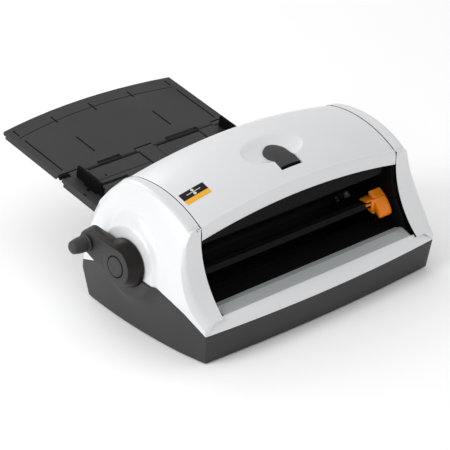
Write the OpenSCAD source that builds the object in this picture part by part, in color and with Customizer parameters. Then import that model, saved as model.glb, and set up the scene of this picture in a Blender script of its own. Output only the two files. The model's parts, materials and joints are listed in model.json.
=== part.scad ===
// Hand-cranked roll laminator with a drop-in film cartridge, a sliding cutter and a folding feed tray.
// Millimetres. Seen from the front, +X is to the right, +Y goes to the rear and +Z is up.
// Sizes are worked out about the housing's own centre line, with y = 0 under the crown's front
// third. placed() then moves everything so that the whole footprint is centred on the origin.

/* [Housing] */
// Width of the housing at its widest line
body_w = 339; // [336:1:342]
// Radius of the arched top, seen from the side
crown_r = 127; // [125:1:129]
// How much the lid rises from its side seams to its middle
crown_rise = 13; // [8:1:16]
// Forward bulge of the front at its middle
front_bow = 8; // [2:1:9]
// Wall thickness of the moulded covers
wall = 2.5; // [2:0.1:3]
// Gap between neighbouring covers
seam = 0.6; // [0.4:0.1:1]

/* [Lid] */
// Half the width of the lid
lid_half = 136.8; // [136:0.1:137]
// Width and length of the release button
button_w = 26; // [20:1:28]
// Depth of the dish around the button
dish_depth = 6.5; // [4:0.5:7]

/* [Crank] */
// Distance from the crank's axis to the knob's axis
crank_throw = 44; // [40:1:50]
// Radius of the crank's round hub at its back
hub_r = 26; // [24:0.5:28]
// Radius of the hub's outer face
hub_face_r = 19.5; // [17:0.5:21]
// Radius of the crank shaft
shaft_r = 5; // [4:0.5:6]

/* [Rollers and film] */
// Radius of both nip rollers
roller_r = 12.9; // [12.8:0.05:12.95]
// Number of teeth on each roller gear, module 1
gear_teeth = 26; // [26:1:26]
// Outer radius of the upper film roll
upper_film_r = 22; // [14:1:24]
// Outer radius of the lower film roll
lower_film_r = 19; // [14:1:20]
// Width of the film
film_w = 216; // [200:1:220]

/* [Cutter] */
// Width of the cutter's finger paddle
cutter_w = 19; // [16:1:20]
// Running clearance around the cutter rail
slide_gap = 0.35; // [0.3:0.05:0.5]

/* [Feed tray] */
// Upward slope of the tray towards the rear, in degrees
tray_tilt = 12.6; // [10:0.2:14]
// Half the width of the tray
tray_half = 118.5; // [110:0.5:119]
// Thickness of the tray's plates
tray_t = 5; // [4:0.5:6]
// Length of the folding extension at its middle
extension_l = 109; // [90:1:112]

/* [Hidden] */
$fn = 64;

half_w = body_w / 2;
foot_half = half_w - 7.5; // half the width at the widest station, at table height
silver = [0.78, 0.79, 0.80];
charcoal = [0.16, 0.16, 0.17];
black = [0.06, 0.06, 0.065];
steel = [0.62, 0.63, 0.65];
orange = [0.95, 0.50, 0.08];
film_tint = [0.85, 0.88, 0.90];

// Side view of the housing: the arched top is an arc about (crown_y, crown_z)
crown_y = 25;
crown_z = 29;
front_y = -85.7;       // front edge of the silver housing at its corners
front_z = 33;          // height of that edge, where the base starts
brow_z = 131;          // height where the straight front edge meets the arc
brow_y = crown_y - sqrt(crown_r * crown_r - pow(brow_z - crown_z, 2));
lip_z = 117;           // lower edge of the lid's lip at its ends
rear_slope = [[44, crown_z + crown_r - 1.6], [54, 151], [76, 133], [94, 115], [105, 98], [107, 95]];
rear_line = [[33, 118], [62, 117], [84, 113], [98, 105], [115, 94], [133, 76], [146, 59], [152, 54],
             [155, 44]];
side_lean = 0.128;     // outward lean of the side walls below their shoulder
widest_y = -30;        // station where the barrel-shaped side walls are furthest apart

// Line where the silver covers end and the dark base begins, seen from the side
split_line = [[-140, 33], [-85, 33], [-74, 41.5], [-60, 50.8], [-44, 58.2], [-24, 64.8], [-4, 67.6],
              [18, 66.8], [50, 61.5], [90, 51.4], [116, 42], [140, 38]];

// Round front opening under the lid: its edge is an arc about this point
throat_y = -155;
throat_z = 120;
throat_r = 103;        // at the lid's seam; it grows outwards by scoop_flare
scoop_flare = 0.098;
bezel_top = 43.6;
frame_in = 134;        // inner face of each side frame
frame_t = 2.5;

// Nip, shafts and crank
nip_y = 18;
crank_axis_z = 81;
centre_gap = 26;       // distance between the two roller axes
lower_axis_z = crank_axis_z - centre_gap;
upper_film_at = [58, 112];
lower_film_at = [58, 32];
cartridge_in = 121;    // inner face of the cartridge's end plates
cartridge_t = 3;
bar_y = 85;            // rear face of the bars that join the cartridge's end plates
run_gap = 0.05;        // radial clearance of a running fit
loose = 0.35;          // clearance between parts that pass each other

hub_out = -188.5;      // outer face of the crank's hub
hub_in = -172.6;       // inner face of the crank's hub
boss_in = -150;        // where the cone of the raised boss starts, inside the wall
boss_out = -172;       // outer face of the raised boss behind the hub
boss_r = [55, 38];     // radii of that cone at boss_in and at boss_out
boss_hole = 14;
knob_rest = 15.8;      // angle of the crank above the horizontal at rest
knob_at = [nip_y + crank_throw * cos(knob_rest), crank_axis_z + crank_throw * sin(knob_rest)];
knob_tip = -209.5;
knob_base = -190.8;
cap_r = 10.5;
pin_r = 3;

// Lid hinge, latch and button
lid_axis = [97, 93];
button_front = -36;
button_rear = -9;
button_z = 146.2;      // top of the button at its front edge
button_tilt = 17;
dish_at = [0, -8, 164.5];
dish_half = [38, 22.5];
latch_bar_at = [-27, 114];
stem_y = -17;          // middle of the button's stem
well_z = 133.2;        // underside of the well that holds the button
spring_z = 135.2;      // floor of that well, where the return spring stands
spring_l = 9.4;
spring_wire = 0.45;
hook_top = 134;

// Cutter
rail_y = [-44, -36];
rail_z = [73, 80];
cutter_x = 121.5;      // middle of the handle at rest
blade_z = 55.3;

// Feed table and tray: the tray's own frame runs up the slope from the folding hinge
fold_y = 191.5;
fold_z = 99.8;
table_l = 86;
pin_drop = 2.6;        // depth of the folding pin's axis below the tray's top face
fold_pin_r = 1.2;
plate_gap = 3.7;       // distance from the folding pin's axis to the edge of the table's plate
table_knuckles = [[-106, -86], [-14, 10], [97, 111]];
extension_knuckles = [[-85.6, -66], [-34, -14.4], [10.4, 30], [77, 96.6]];
pads = [[-86, -14], [10, 73.5]];
arc_r = 520;           // the scored line near the tray's end is a shallow arc
arc_at = 91 - arc_r;
groove_x = 108.5;
groove_d = 0.7;

foot_places = [for (x = [-140, 140], y = [-66, 88]) [x * (y > 0 ? 0.93 : 1), y]];
screw_places = [for (x = [-118, 118], y = [-58, 82]) [x, y]];
tie_places = [latch_bar_at, [-10, 16], [92, 60]];
hub_at = [nip_y, crank_axis_z];
badge_at = [-116.5, -20.5, 150.6];
badge_turn = [19, -10.5, 0];

tail_y = fold_y + extension_l * cos(tray_tilt) + (tray_t - 1) * sin(tray_tilt);
nose_y = front_y - front_bow;
shift_x = -(half_w + knob_tip) / 2;
shift_y = -(tail_y + nose_y) / 2;

module placed() { translate([shift_x, shift_y, 0]) children(); }

// Height or place read off a line of [position, value] points
function along(line, at) = lookup(at, line);
function arc_y(z) = crown_y - sqrt(crown_r * crown_r - pow(z - crown_z, 2));
function front_at(z) = z > brow_z ? arc_y(z)
    : front_y + (brow_y - front_y) * (z - front_z) / (brow_z - front_z);

// Height of the top edge at a station, and how far the wall has swung out at a depth below that edge
function top_at(y) = y < brow_y ? brow_z
    : y < rear_slope[0][0] ? crown_z + sqrt(crown_r * crown_r - pow(y - crown_y, 2))
    : lookup(y, concat(rear_slope, [[113, 84], [118, 60]]));
function shoulder(depth) = -9.5 + 17 * (1 - pow(1 - max(0, min(85, depth)) / 85, 2.2));
// Half the width of the body at a station and a height: a barrel in plan, leaning out below
function side_x(y, z) = foot_half - (y < widest_y ? 0.0013 : 0.0007) * pow(y - widest_y, 2)
    + min(side_lean * z, shoulder(top_at(y) - z) + 0.035 * max(0, y - 54));
function stations(y0, y1, n) = [for (i = [0 : n]) y0 + (y1 - y0) * i / n];

// Plan outline at height z between two stations, with a bowed front edge where bow is not 0
function plan(z, y0, y1, inset, bow) = let (corner = side_x(y0, z) - inset) concat(
    [for (i = [-5 : 5]) [corner * i / 5, y0 - bow * (1 - pow(i / 5, 2))]],
    [for (y = stations(y0, y1, 6)) if (y > y0) [side_x(y, z) - inset, y]],
    [for (y = stations(y1, y0, 6)) if (y > y0) [inset - side_x(y, z), y]]);

module slab(z) { translate([0, 0, z]) linear_extrude(0.02) children(); }

// Extrudes a side-view outline, drawn as [y, z], between two places on X
module side_prism(x0, x1) {
    translate([x0, 0, 0]) rotate([90, 0, 90]) linear_extrude(x1 - x0) children();
}
module x_rod(x0, x1, at, r, r2 = undef) {
    translate([x0, at[0], at[1]]) rotate([0, 90, 0])
        cylinder(h = x1 - x0, r1 = r, r2 = r2 == undef ? r : r2);
}
module both_sides() { children(); mirror([1, 0, 0]) children(); }

// Closed outer form of the silver housing, drawn in by inset on every side
module housing_form(inset) {
    levels = [33, 48, 58, 66, 84, 98, 115, 131, 138, 144, 149, 153, 155.6];
    hull() for (z = levels) slab(z > 150 ? z - inset : z)
        polygon(plan(z, front_at(z) + inset, along(rear_line, z) - inset, inset, 0));
}

// Closed outer form of the base, drawn in by inset on every side but its top
module base_form(inset) {
    hull() {
        slab(1.5 + inset) polygon(plan(0, -81 + inset, 111 - inset, inset, front_bow - 2));
        for (z = [front_z, 48, 58, 66, 84]) slab(z)
            polygon(plan(z, front_at(z) + inset, along(rear_line, z) - inset, inset,
                         z == front_z ? front_bow : 0));
    }
}

// Everything above the split line, or below it, moved up by lift
module above_split(lift) {
    side_prism(-200, 200) polygon(concat([for (p = split_line) [p[0], p[1] + lift]],
                                         [[140, 200], [-140, 200]]));
}
module below_split(lift) {
    side_prism(-200, 200) polygon(concat([for (p = split_line) [p[0], p[1] + lift]],
                                         [[140, -20], [-140, -20]]));
}

// Raised round boss around the crank, on the left wall only
module crank_boss(inset) {
    translate([boss_in, hub_at[0], hub_at[1]]) rotate([0, -90, 0])
        cylinder(h = boss_in - boss_out - inset, r1 = boss_r[0] - inset, r2 = boss_r[1] - inset);
}
module crank_boss_shell() { difference() { crank_boss(0); crank_boss(wall); } }

module base_pan() {
    color(charcoal) difference() {
        union() {
            intersection() {
                union() {
                    difference() { base_form(0); base_form(wall); }
                    difference() {
                        crank_boss_shell();
                        base_form(wall / 2);
                    }
                }
                below_split(0);
            }
            for (p = screw_places) translate([p[0], p[1], 1.6]) cylinder(h = 16, r = 5);
        }
        for (p = screw_places) translate([p[0], p[1], 0]) {
            translate([0, 0, -1]) cylinder(h = 6.2, r = 3.6);
            cylinder(h = 40, r = 1.8);
        }
        for (p = foot_places) translate([p[0], p[1], 0]) cylinder(h = 10, r = 3);
        x_rod(boss_out - 1, -140, hub_at, boss_hole);
    }
}

module base_feet() {
    color(black) for (p = foot_places) translate([p[0], p[1], 0]) {
        cylinder(h = 1.5, r = 8);
        cylinder(h = 4, r = 2.9);
    }
}

module bottom_screws() {
    color(steel) for (p = screw_places) translate([p[0], p[1], 2.2]) difference() {
        union() { cylinder(h = 3, r = 3.3); cylinder(h = 15, r = 1.75); }
        for (a = [0, 90]) rotate([0, 0, a]) translate([-2, -0.4, -1]) cube([4, 0.8, 2.2]);
    }
}

// One side cover: outer skin, a narrow flange along the lid's seam and the swept front reveal
module fairing_blank() {
    seam_x = lid_half + seam;
    difference() {
        intersection() {
            union() {
                difference() { housing_form(0); housing_form(wall); }
                difference() {
                    intersection() {
                        housing_form(0);
                        translate([seam_x, -200, 0]) cube([wall, 400, 200]);
                    }
                    side_prism(0, 200) offset(delta = -7) side_outline();
                }
                reveal_skin();
            }
            above_split(seam);
            translate([seam_x, -200, 0]) cube([100, 400, 200]);
        }
        scoop(0.3);
    }
}

// The round reveal at the side of the front opening, a little wider outwards
module scoop(grow) {
    translate([lid_half + seam - 1, throat_y, throat_z]) rotate([0, 90, 0])
        cylinder(h = 36, r1 = throat_r + grow, r2 = throat_r + grow + 36 * scoop_flare, $fn = 96);
}

// Side outline of the housing at the lid's seam
module side_outline() {
    polygon(concat([[front_y, front_z]],
                   [for (a = [126.6 : -4.2 : 81]) [crown_y + crown_r * cos(a),
                                                   crown_z + crown_r * sin(a)]],
                   rear_slope, [[113, 84], [118, 43], [118, front_z]]));
}

// Curved band that lines the front opening's side, following the round reveal
module reveal_skin() {
    intersection() {
        housing_form(0);
        difference() { scoop(0.3 + wall); scoop(0.3); }
    }
}

module left_fairing() {
    color(silver) difference() {
        union() {
            mirror([1, 0, 0]) fairing_blank();
            intersection() {
                difference() { crank_boss_shell(); housing_form(wall / 2); }
                above_split(seam);
            }
        }
        x_rod(boss_out - 1, -130, hub_at, boss_hole);
    }
}
module right_fairing() { color(silver) fairing_blank(); }

// Bowed strip below the opening
module front_bezel() {
    reach = lid_half - 0.2;
    color(silver) difference() {
        intersection() {
            translate([0, 0, front_z + seam]) linear_extrude(bezel_top - front_z - seam)
                polygon(plan(front_z, front_y, -60, 0, front_bow));
            translate([-reach, -120, 0]) cube([2 * reach, 60, 100]);
        }
        translate([0, 0, front_z - 1]) linear_extrude(bezel_top - front_z + 1 - wall)
            polygon(plan(front_z, front_y + wall, -50, 0, front_bow));
        translate([-200, -80.5, front_z - 1]) cube([400, 40, 40]);
    }
}

// Sloping silver shelf that the finished sheet slides out over
module exit_shelf() {
    color(silver) difference() {
        side_prism(-(frame_in - 0.5), frame_in - 0.5)
            polygon([[-80.2, 41], [-80.2, 45.6], [-69, 50.2], [-62, 50.2], [-62, 48], [-68.6, 48]]);
        both_sides() translate([frame_in - 4, -64, 40]) cube([10, 10, 20]);
    }
}

module rear_cover() {
    color(silver) difference() {
        intersection() {
            difference() { housing_form(0); housing_form(wall); }
            above_split(seam);
            translate([-lid_half, 90, 0]) cube([2 * lid_half, 60, 74.5]);
        }
    }
}

// Side frames carry the rollers' drive, the lid's hinge pins, the rail and the table
module frame_outline() {
    difference() {
        intersection() {
            offset(delta = -9) side_outline();
            translate([-90, 4.4]) square([198, 140]);
        }
        translate([throat_y, throat_z]) circle(r = throat_r + 4, $fn = 96);
    }
}
module frame_blank() {
    difference() {
        union() {
            side_prism(frame_in, frame_in + frame_t) frame_outline();
            side_prism(frame_in, frame_in + frame_t) translate([-74, 4.4]) square([170, 44]);
        }
        x_rod(frame_in - 1, frame_in + 5, lid_axis, pin_r);
        for (p = tie_places) x_rod(frame_in - 1, frame_in + 5, p, 2.5);
    }
}
module left_frame() {
    color(black) difference() {
        mirror([1, 0, 0]) frame_blank();
        x_rod(-frame_in - 5, -frame_in + 1, [nip_y, crank_axis_z], 8);
    }
}
module right_frame() { color(black) frame_blank(); }

module tie_rods() {
    reach = frame_in + frame_t + 1.5;
    color(steel) for (p = tie_places) {
        x_rod(-frame_in, frame_in, p, 4);
        both_sides() x_rod(frame_in, reach, p, 2.5);
    }
}

// Black floor between the exit shelf and the cutter's bed
module throat_floor() {
    reach = frame_in - 0.5;
    color(black) side_prism(-reach, reach)
        polygon([[-61.6, 47.6], [-61.6, 50], [-47, 52], [-47, 40], [-49, 40], [-49, 49.4]]);
}

module cutter_bed() {
    reach = frame_in - 0.2;
    color(black) difference() {
        side_prism(-reach, reach) polygon([[-46.6, 40], [-46.6, 52], [-33, 53.8], [-33, 40]]);
        translate([-reach - 1, -40.6, 50]) cube([2 * reach + 2, 1.2, 10]);
    }
}

module cutter_rail() {
    reach = frame_in - 0.2;
    color(black) difference() {
        translate([-reach, rail_y[0], rail_z[0]])
            cube([2 * reach, rail_y[1] - rail_y[0], rail_z[1] - rail_z[0]]);
        translate([-reach - 1, -41.2, rail_z[1] - 1.5]) cube([2 * reach + 2, 2.4, 4]);
    }
}

module crank_bush() {
    color(black) difference() {
        union() {
            x_rod(-frame_in - 12, -frame_in + 2.5, [nip_y, crank_axis_z], 8);
            x_rod(-frame_in - frame_t - 2, -frame_in - frame_t, [nip_y, crank_axis_z], 11);
        }
        x_rod(-frame_in - 20, -frame_in + 10, [nip_y, crank_axis_z], shaft_r + run_gap);
    }
}

module lid_hinge_pins() {
    color(steel) both_sides() {
        x_rod(124, frame_in + frame_t + 1, lid_axis, pin_r);
    }
}

// ---- Cartridge: two end plates joined by bars, carrying both film rolls and both rollers ----
module end_plate() {
    difference() {
        side_prism(cartridge_in, cartridge_in + cartridge_t) union() {
            translate(upper_film_at) circle(r = 17);
            translate(lower_film_at) circle(r = 17);
            translate([nip_y, crank_axis_z]) circle(r = 11);
            translate([nip_y, lower_axis_z]) circle(r = 11);
            polygon([[nip_y - 9, 48], [nip_y - 9, 88], [44, 120], [70, 118], [70, 22], [44, 18]]);
        }
        for (p = [[nip_y, crank_axis_z], [nip_y, lower_axis_z]])
            x_rod(cartridge_in - 1, cartridge_in + 5, p, 6.5);
        for (p = [upper_film_at, lower_film_at])
            x_rod(cartridge_in - 1, cartridge_in + 5, p, 7 + run_gap);
    }
}
module cartridge_frame() {
    color(charcoal) {
        both_sides() end_plate();
        for (z = [98, 28]) {
            both_sides() translate([cartridge_in, 66, z - 4]) cube([cartridge_t, bar_y - 66, 8]);
            translate([-cartridge_in, bar_y - 3, z - 4]) cube([2 * cartridge_in, 3, 8]);
        }
    }
}
module roller_bushes() {
    color(steel) both_sides() for (z = [crank_axis_z, lower_axis_z]) difference() {
        x_rod(cartridge_in - 0.5, cartridge_in + cartridge_t, [nip_y, z], 6.5);
        x_rod(cartridge_in - 2, cartridge_in + 8, [nip_y, z], 4 + run_gap);
    }
}

module roller_core(z, left, right) {
    x_rod(-112, 112, [nip_y, z], roller_r - 3.5);
    x_rod(left, right, [nip_y, z], 4);
}
module roller_tube(z, r) {
    difference() {
        x_rod(-110, 110, [nip_y, z], r);
        x_rod(-111, 111, [nip_y, z], roller_r - 3.5);
    }
}
module upper_roller_shaft() {
    color(steel) difference() {
        roller_core(crank_axis_z, -128.5, 131);
        translate([-129.5, nip_y - 1.2, crank_axis_z - 5]) cube([3.5, 2.4, 10]);
    }
}
module upper_roller_sleeve() { color(black) roller_tube(crank_axis_z, roller_r); }
module lower_roller_shaft() { color(steel) roller_core(lower_axis_z, -127, 131); }
module lower_roller_sleeve() { color(black) roller_tube(lower_axis_z, roller_r); }

// Involute spur gear, module 1, thinned a little so that a pair turns freely
function involute(base, t) = [base * (cos(t) + t * PI / 180 * sin(t)),
                              base * (sin(t) - t * PI / 180 * cos(t))];
function turned(p, a) = [p[0] * cos(a) - p[1] * sin(a), p[0] * sin(a) + p[1] * cos(a)];
module gear_outline(teeth, backlash) {
    pitch = teeth / 2;
    base = pitch * cos(20);
    tip = pitch + 0.9;
    root = pitch - 1.25;
    t_tip = sqrt(pow(tip / base, 2) - 1) * 180 / PI;
    t_pitch = tan(20) * 180 / PI;
    lead = t_pitch - 20 + 90 / teeth - backlash;
    flank = [for (i = [0 : 5]) turned(involute(base, t_tip * i / 5), -lead)];
    tooth = concat([turned([root, 0], -lead)], flank,
                   [for (i = [5 : -1 : 0]) [flank[i][0], -flank[i][1]]], [turned([root, 0], lead)]);
    polygon([for (k = [0 : teeth - 1]) for (p = tooth) turned(p, 360 * k / teeth)]);
}
module roller_gear(z, phase) {
    translate([126, nip_y, z]) rotate([90, 0, 90]) linear_extrude(5) difference() {
        rotate(phase) gear_outline(gear_teeth, 0.35);
        circle(r = 4);
    }
}
module upper_roller_gear() { color("ivory") roller_gear(crank_axis_z, -90); }
module lower_roller_gear() { color("ivory") roller_gear(lower_axis_z, 90 + 180 / gear_teeth); }

module film_core(at) {
    difference() {
        union() {
            x_rod(-film_w / 2 - 2, film_w / 2 + 2, at, 12);
            x_rod(-cartridge_in - cartridge_t, cartridge_in + cartridge_t, at, 7);
        }
        x_rod(-200, 200, at, 4.5);
    }
}
module film_winding(at, r) {
    difference() {
        x_rod(-film_w / 2, film_w / 2, at, r);
        x_rod(-film_w, film_w, at, 12);
    }
}
module upper_film_core() { color("tan") film_core(upper_film_at); }
module upper_film_roll() { color(film_tint) film_winding(upper_film_at, upper_film_r); }
module lower_film_core() { color("tan") film_core(lower_film_at); }
module lower_film_roll() { color(film_tint) film_winding(lower_film_at, lower_film_r); }

// ---- Crank ----
module crank_arm() {
    color(black) difference() {
        union() {
            translate([hub_in, hub_at[0], hub_at[1]]) rotate([0, -90, 0])
                cylinder(h = hub_in - hub_out, r1 = hub_r, r2 = hub_face_r);
            hull() {
                x_rod(hub_out + 0.6, hub_in - 1.5, hub_at, hub_face_r - 0.5);
                x_rod(hub_out + 0.6, hub_in - 1.5, knob_at, 13);
            }
        }
        x_rod(hub_in - 8, hub_in + 1, hub_at, shaft_r);
        x_rod(hub_out - 1, hub_out + 2, hub_at, cap_r + 0.4);
        x_rod(hub_out - 1, hub_in + 1, hub_at, 2);
        x_rod(hub_out - 1, hub_in + 1, knob_at, 2.5);
        x_rod(hub_in - 3.1, hub_in + 1, knob_at, 4.5);
    }
}
module crank_cap() {
    color(black) difference() {
        union() {
            x_rod(hub_out + 0.2, hub_out + 2, hub_at, cap_r);
            x_rod(hub_out + 2, hub_out + 6, hub_at, 1.95);
        }
        translate([hub_out, 0, 0]) rotate([90, 0, 90]) linear_extrude(0.7)
            translate(hub_at) difference() { circle(r = cap_r - 1.6); circle(r = cap_r - 2.3); }
    }
}
module crank_shaft() {
    color(steel) difference() {
        union() {
            x_rod(hub_in - 8, -129, hub_at, shaft_r);
            translate([-129, nip_y - 1.1, crank_axis_z - 4.6]) cube([2.6, 2.2, 9.2]);
        }
        difference() {
            x_rod(-131, -130, hub_at, shaft_r + 1);
            x_rod(-132, -129, hub_at, shaft_r - 1);
        }
        x_rod(hub_in - 10, hub_in, hub_at, 2);
    }
}
module shaft_clip() {
    color(steel) difference() {
        x_rod(-130.9, -130.1, hub_at, 8);
        x_rod(-132, -129, hub_at, shaft_r - 1);
        translate([-132, nip_y - 2.5, crank_axis_z - 12]) cube([4, 5, 12]);
    }
}
module knob_pin() {
    color(steel) {
        x_rod(hub_in - 3, hub_in - 0.8, knob_at, 4.4);
        x_rod(knob_tip + 5, hub_in - 1, knob_at, 2.5);
        x_rod(knob_tip + 3, knob_tip + 5, knob_at, 4);
    }
}
// Tapered grip, round at the tip, turning on its pin
module crank_knob() {
    l = knob_base - knob_tip;
    color(black) difference() {
        translate([knob_tip, knob_at[0], knob_at[1]]) rotate([0, 90, 0]) rotate_extrude()
            polygon(concat([[0, 0]], [for (a = [0 : 15 : 90]) [4 + 3 * sin(a), 3 - 3 * cos(a)]],
                           [[9.6, l - 2], [9.6, l], [0, l]]));
        x_rod(knob_tip + 4.9, knob_base + 1, knob_at, 2.5 + run_gap);
        x_rod(knob_tip + 2.5, knob_tip + 5.3, knob_at, 4 + loose);
    }
}

// ---- Lid ----
// Closed outer form of the lid: the side outline, raised towards the middle by the crown
module lid_form(inset) {
    reach = lid_half - inset;
    hull() for (i = [-6 : 6]) {
        x = reach * sin(i * 15);
        rise = crown_rise * (1 - pow(x / lid_half, 2));
        r = crown_r - inset;
        translate([x - 0.01, 0, 0]) rotate([90, 0, 90]) linear_extrude(0.02) polygon(concat(
            [[brow_y - 1.2 + inset, 80]],
            [for (a = [126.6 : -4.2 : 83]) [crown_y + r * cos(a), crown_z + r * sin(a) + rise]],
            [for (p = rear_slope) [p[0] - inset * 0.6, p[1] - inset * 0.8
                                   + rise * min(1, max(0, (p[1] - 95) / 50))]],
            [[107 - inset, 80]]));
    }
}
module lip_cut() {
    translate([0, 60, 0]) rotate([90, 0, 0]) linear_extrude(130) polygon(concat(
        [[-150, 60], [150, 60], [150, lip_z]],
        [for (i = [8 : -1 : -8]) [lid_half * i / 8, lip_z + 12 * (1 - pow(i / 8, 2))]],
        [[-150, lip_z]]));
}
module dish(grow) {
    translate(dish_at) rotate([button_tilt, 0, 0])
        scale([dish_half[0] + grow, dish_half[1] + grow, dish_depth + grow]) sphere(r = 1, $fn = 48);
}
module button_prism(grow, z0, z1) {
    translate([0, 0, z0]) linear_extrude(z1 - z0) intersection() {
        translate([-button_w / 2 - grow, button_front - grow])
            square([button_w + 2 * grow, button_rear - button_front + 2 * grow]);
        translate([0, button_front]) circle(r = button_rear - button_front + grow);
    }
}
module lid_shell() {
    color(silver) difference() {
        union() {
            difference() {
                lid_form(0);
                lid_form(wall);
                side_prism(-lid_half - 1, lid_half + 1) offset(delta = -7) side_outline();
                lip_cut();
                translate([-200, 60, 60]) cube([400, 80, 35]);
                both_sides() x_rod(120, 140, lid_axis, pin_r + 1.5);
            }
            intersection() { lid_form(0); dish(wall); }
            intersection() {
                lid_form(0.5);
                difference() { button_prism(3, well_z, 170); button_prism(0.6, spring_z, 180); }
            }
            both_sides() hinge_lug();
        }
        dish(0);
        button_prism(0.6, spring_z, 180);
        translate([-3.4, stem_y - 3.4, 120]) cube([6.8, 6.8, 40]);
        both_sides() x_rod(120, frame_in, lid_axis, pin_r + run_gap);
        badge_block(0.02);
    }
}
module hinge_lug() {
    intersection() {
        lid_form(0.5);
        union() {
            x_rod(126, 131, lid_axis, 6.5);
            side_prism(126, 131) polygon([[lid_axis[0] - 6, lid_axis[1]], [lid_axis[0] - 24, 135],
                                          [lid_axis[0] + 6, 112], [lid_axis[0] + 6.5, lid_axis[1]]]);
        }
    }
    x_rod(126, 131, lid_axis, 6.5);
}
// Thin plate let into the lid, left of the dish
module badge_block(grow) {
    translate(badge_at) rotate(badge_turn) translate([-15.5 - grow, -7.6 - grow, -1.6])
        cube([31 + 2 * grow, 15.2 + 2 * grow, 2.4]);
}
module badge_plate() { color(charcoal) badge_block(0); }

// Smoked strip that hangs just behind the lid's lip
module smoked_guard() {
    color([0.1, 0.09, 0.09, 0.7]) difference() {
        intersection() {
            translate([-129, -42, 106.7]) cube([258, 2.4, 60]);
            lid_form(wall + 0.3);
        }
        translate([-15, -60, 122]) cube([30, 40, 60]);
    }
}

module latch_button() {
    color(charcoal) {
        intersection() {
            button_prism(0, 136, 180);
            translate([0, button_front, button_z]) rotate([button_tilt + 3, 0, 0])
                translate([-20, -10, -3.4]) cube([40, 50, 3.4]);
        }
        translate([0, stem_y, spring_z + spring_l]) cylinder(h = 5, r = 6.5);
        translate([-3, stem_y - 3, hook_top]) cube([6, 6, spring_z + spring_l - hook_top]);
    }
}
// Sprung finger that reaches down beside the latch bar; its nose stops just short of the bar
module latch_hook() {
    color(charcoal) difference() {
        translate([-3, stem_y - 3, hook_top - 28]) cube([6, 4, 28]);
        translate([-4, stem_y - 1.6, hook_top - 24]) cube([8, 8, 12]);
    }
}
// Return spring under the button: a closed helical tube swept along a circle
function ring(c, r, turn, n) = [for (k = [0 : n - 1])
    c + [r * cos(360 * k / n) * cos(turn), r * cos(360 * k / n) * sin(turn), r * sin(360 * k / n)]];
module coil(r, wire, h, turns, steps) {
    n = 8;
    points = [for (i = [0 : steps]) let (a = 360 * turns * i / steps)
        for (p = ring([r * cos(a), r * sin(a), h * i / steps], wire, a, n)) p];
    sides = [for (i = [0 : steps - 1]) for (k = [0 : n - 1])
        [i * n + k, (i + 1) * n + k, (i + 1) * n + (k + 1) % n, i * n + (k + 1) % n]];
    polyhedron(points, concat(sides, [[for (k = [0 : n - 1]) k],
                                      [for (k = [n - 1 : -1 : 0]) steps * n + k]]));
}
module latch_spring() {
    color(steel) translate([0, stem_y, spring_z + spring_wire])
        coil(5.2, spring_wire, spring_l - 2 * spring_wire, 5, 60);
}

// ---- Cutter carriage ----
module cutter_handle() {
    left = cutter_x - 18;
    paddle = [[-42.5, 89.5, 3.5], [-50, 76, 4], [-52.5, 64.5, 4.5]];
    color(orange) difference() {
        union() {
            hull() for (x = [-1, 1], p = paddle)
                translate([cutter_x + x * (cutter_w / 2 - p[2]), p[0], p[1]])
                    sphere(r = p[2], $fn = 24);
            translate([left, rail_y[0] - 3.2, rail_z[0] - 3])
                cube([26, rail_y[1] - rail_y[0] + 6.2, rail_z[1] - rail_z[0] + 7]);
            for (z = [78.5, 84]) translate([left - 10.5, rail_y[0] - 5, z]) cube([11, 5, 2.2]);
            translate([left + 7, rail_y[0] - 6, 65.5]) cube([8, 4, 5]);
        }
        translate([0, rail_y[0] - slide_gap, rail_z[0] - slide_gap])
            cube([300, rail_y[1] - rail_y[0] + 2 * slide_gap, rail_z[1] - rail_z[0] + 2 * slide_gap]);
    }
}
module cutter_blade() {
    color(steel) side_prism(cutter_x - 0.4, cutter_x + 0.4)
        polygon([[-41.2, 69], [-37.6, 69], [-37.6, 62], [-40, blade_z - 4], [-41.2, 62]]);
}

// ---- Feed table and folding tray, drawn in the tray's own frame ----
module on_tray() { translate([0, fold_y, fold_z]) rotate([tray_tilt, 0, 0]) children(); }
module groove(x, y0, y1, w) { translate([x - w / 2, y0, -groove_d]) cube([w, y1 - y0, 3]); }
module fold_rod(x0, x1, r) {
    translate([x0, 0, -pin_drop]) rotate([0, 90, 0]) cylinder(h = x1 - x0, r = r);
}
// Hinge barrel with a short web back to its own plate, which lies on side -1 or +1
module knuckle(x0, x1, side) {
    fold_rod(x0, x1, pin_drop);
    translate([x0, side > 0 ? 0 : -4.5, -2 * pin_drop + 0.2]) cube([x1 - x0, 4.5, 2 * pin_drop - 0.2]);
}
module feed_table() {
    color(charcoal) on_tray() difference() {
        union() {
            translate([-tray_half, -table_l + 12, -tray_t])
                cube([2 * tray_half, table_l - 12 - plate_gap, tray_t]);
            translate([-frame_in + 0.4, -table_l - 8, -tray_t])
                cube([2 * frame_in - 0.8, 20, tray_t]);
            both_sides() translate([tray_half - 3, -table_l + 15, -tray_t - 4])
                cube([3, table_l - 22, 4.5]);
            for (x = table_knuckles) knuckle(x[0], x[1], -1);
        }
        fold_rod(-tray_half, tray_half, fold_pin_r);
        both_sides() {
            translate([52, -36, -tray_t - 1]) cube([57, 4, 20]);
            translate([tray_half - 3.6, -42, -tray_t - 10]) cube([2.4, 4.2, 20]);
        }
        for (p = pads) {
            for (x = p) groove(x, -26, -7, 0.8);
            translate([p[0], -26.4, -groove_d]) cube([p[1] - p[0], 0.8, 3]);
        }
        translate([-73, -22, -tray_t - 1]) cylinder(h = 20, r = 1.5);
    }
}
module extension_outline() {
    bow = 11;
    polygon(concat([[-tray_half, plate_gap - 0.6], [tray_half, plate_gap - 0.6]],
                   [for (i = [5 : -1 : -5]) [tray_half * i / 5, extension_l - bow * pow(i / 5, 2)]]));
}
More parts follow.
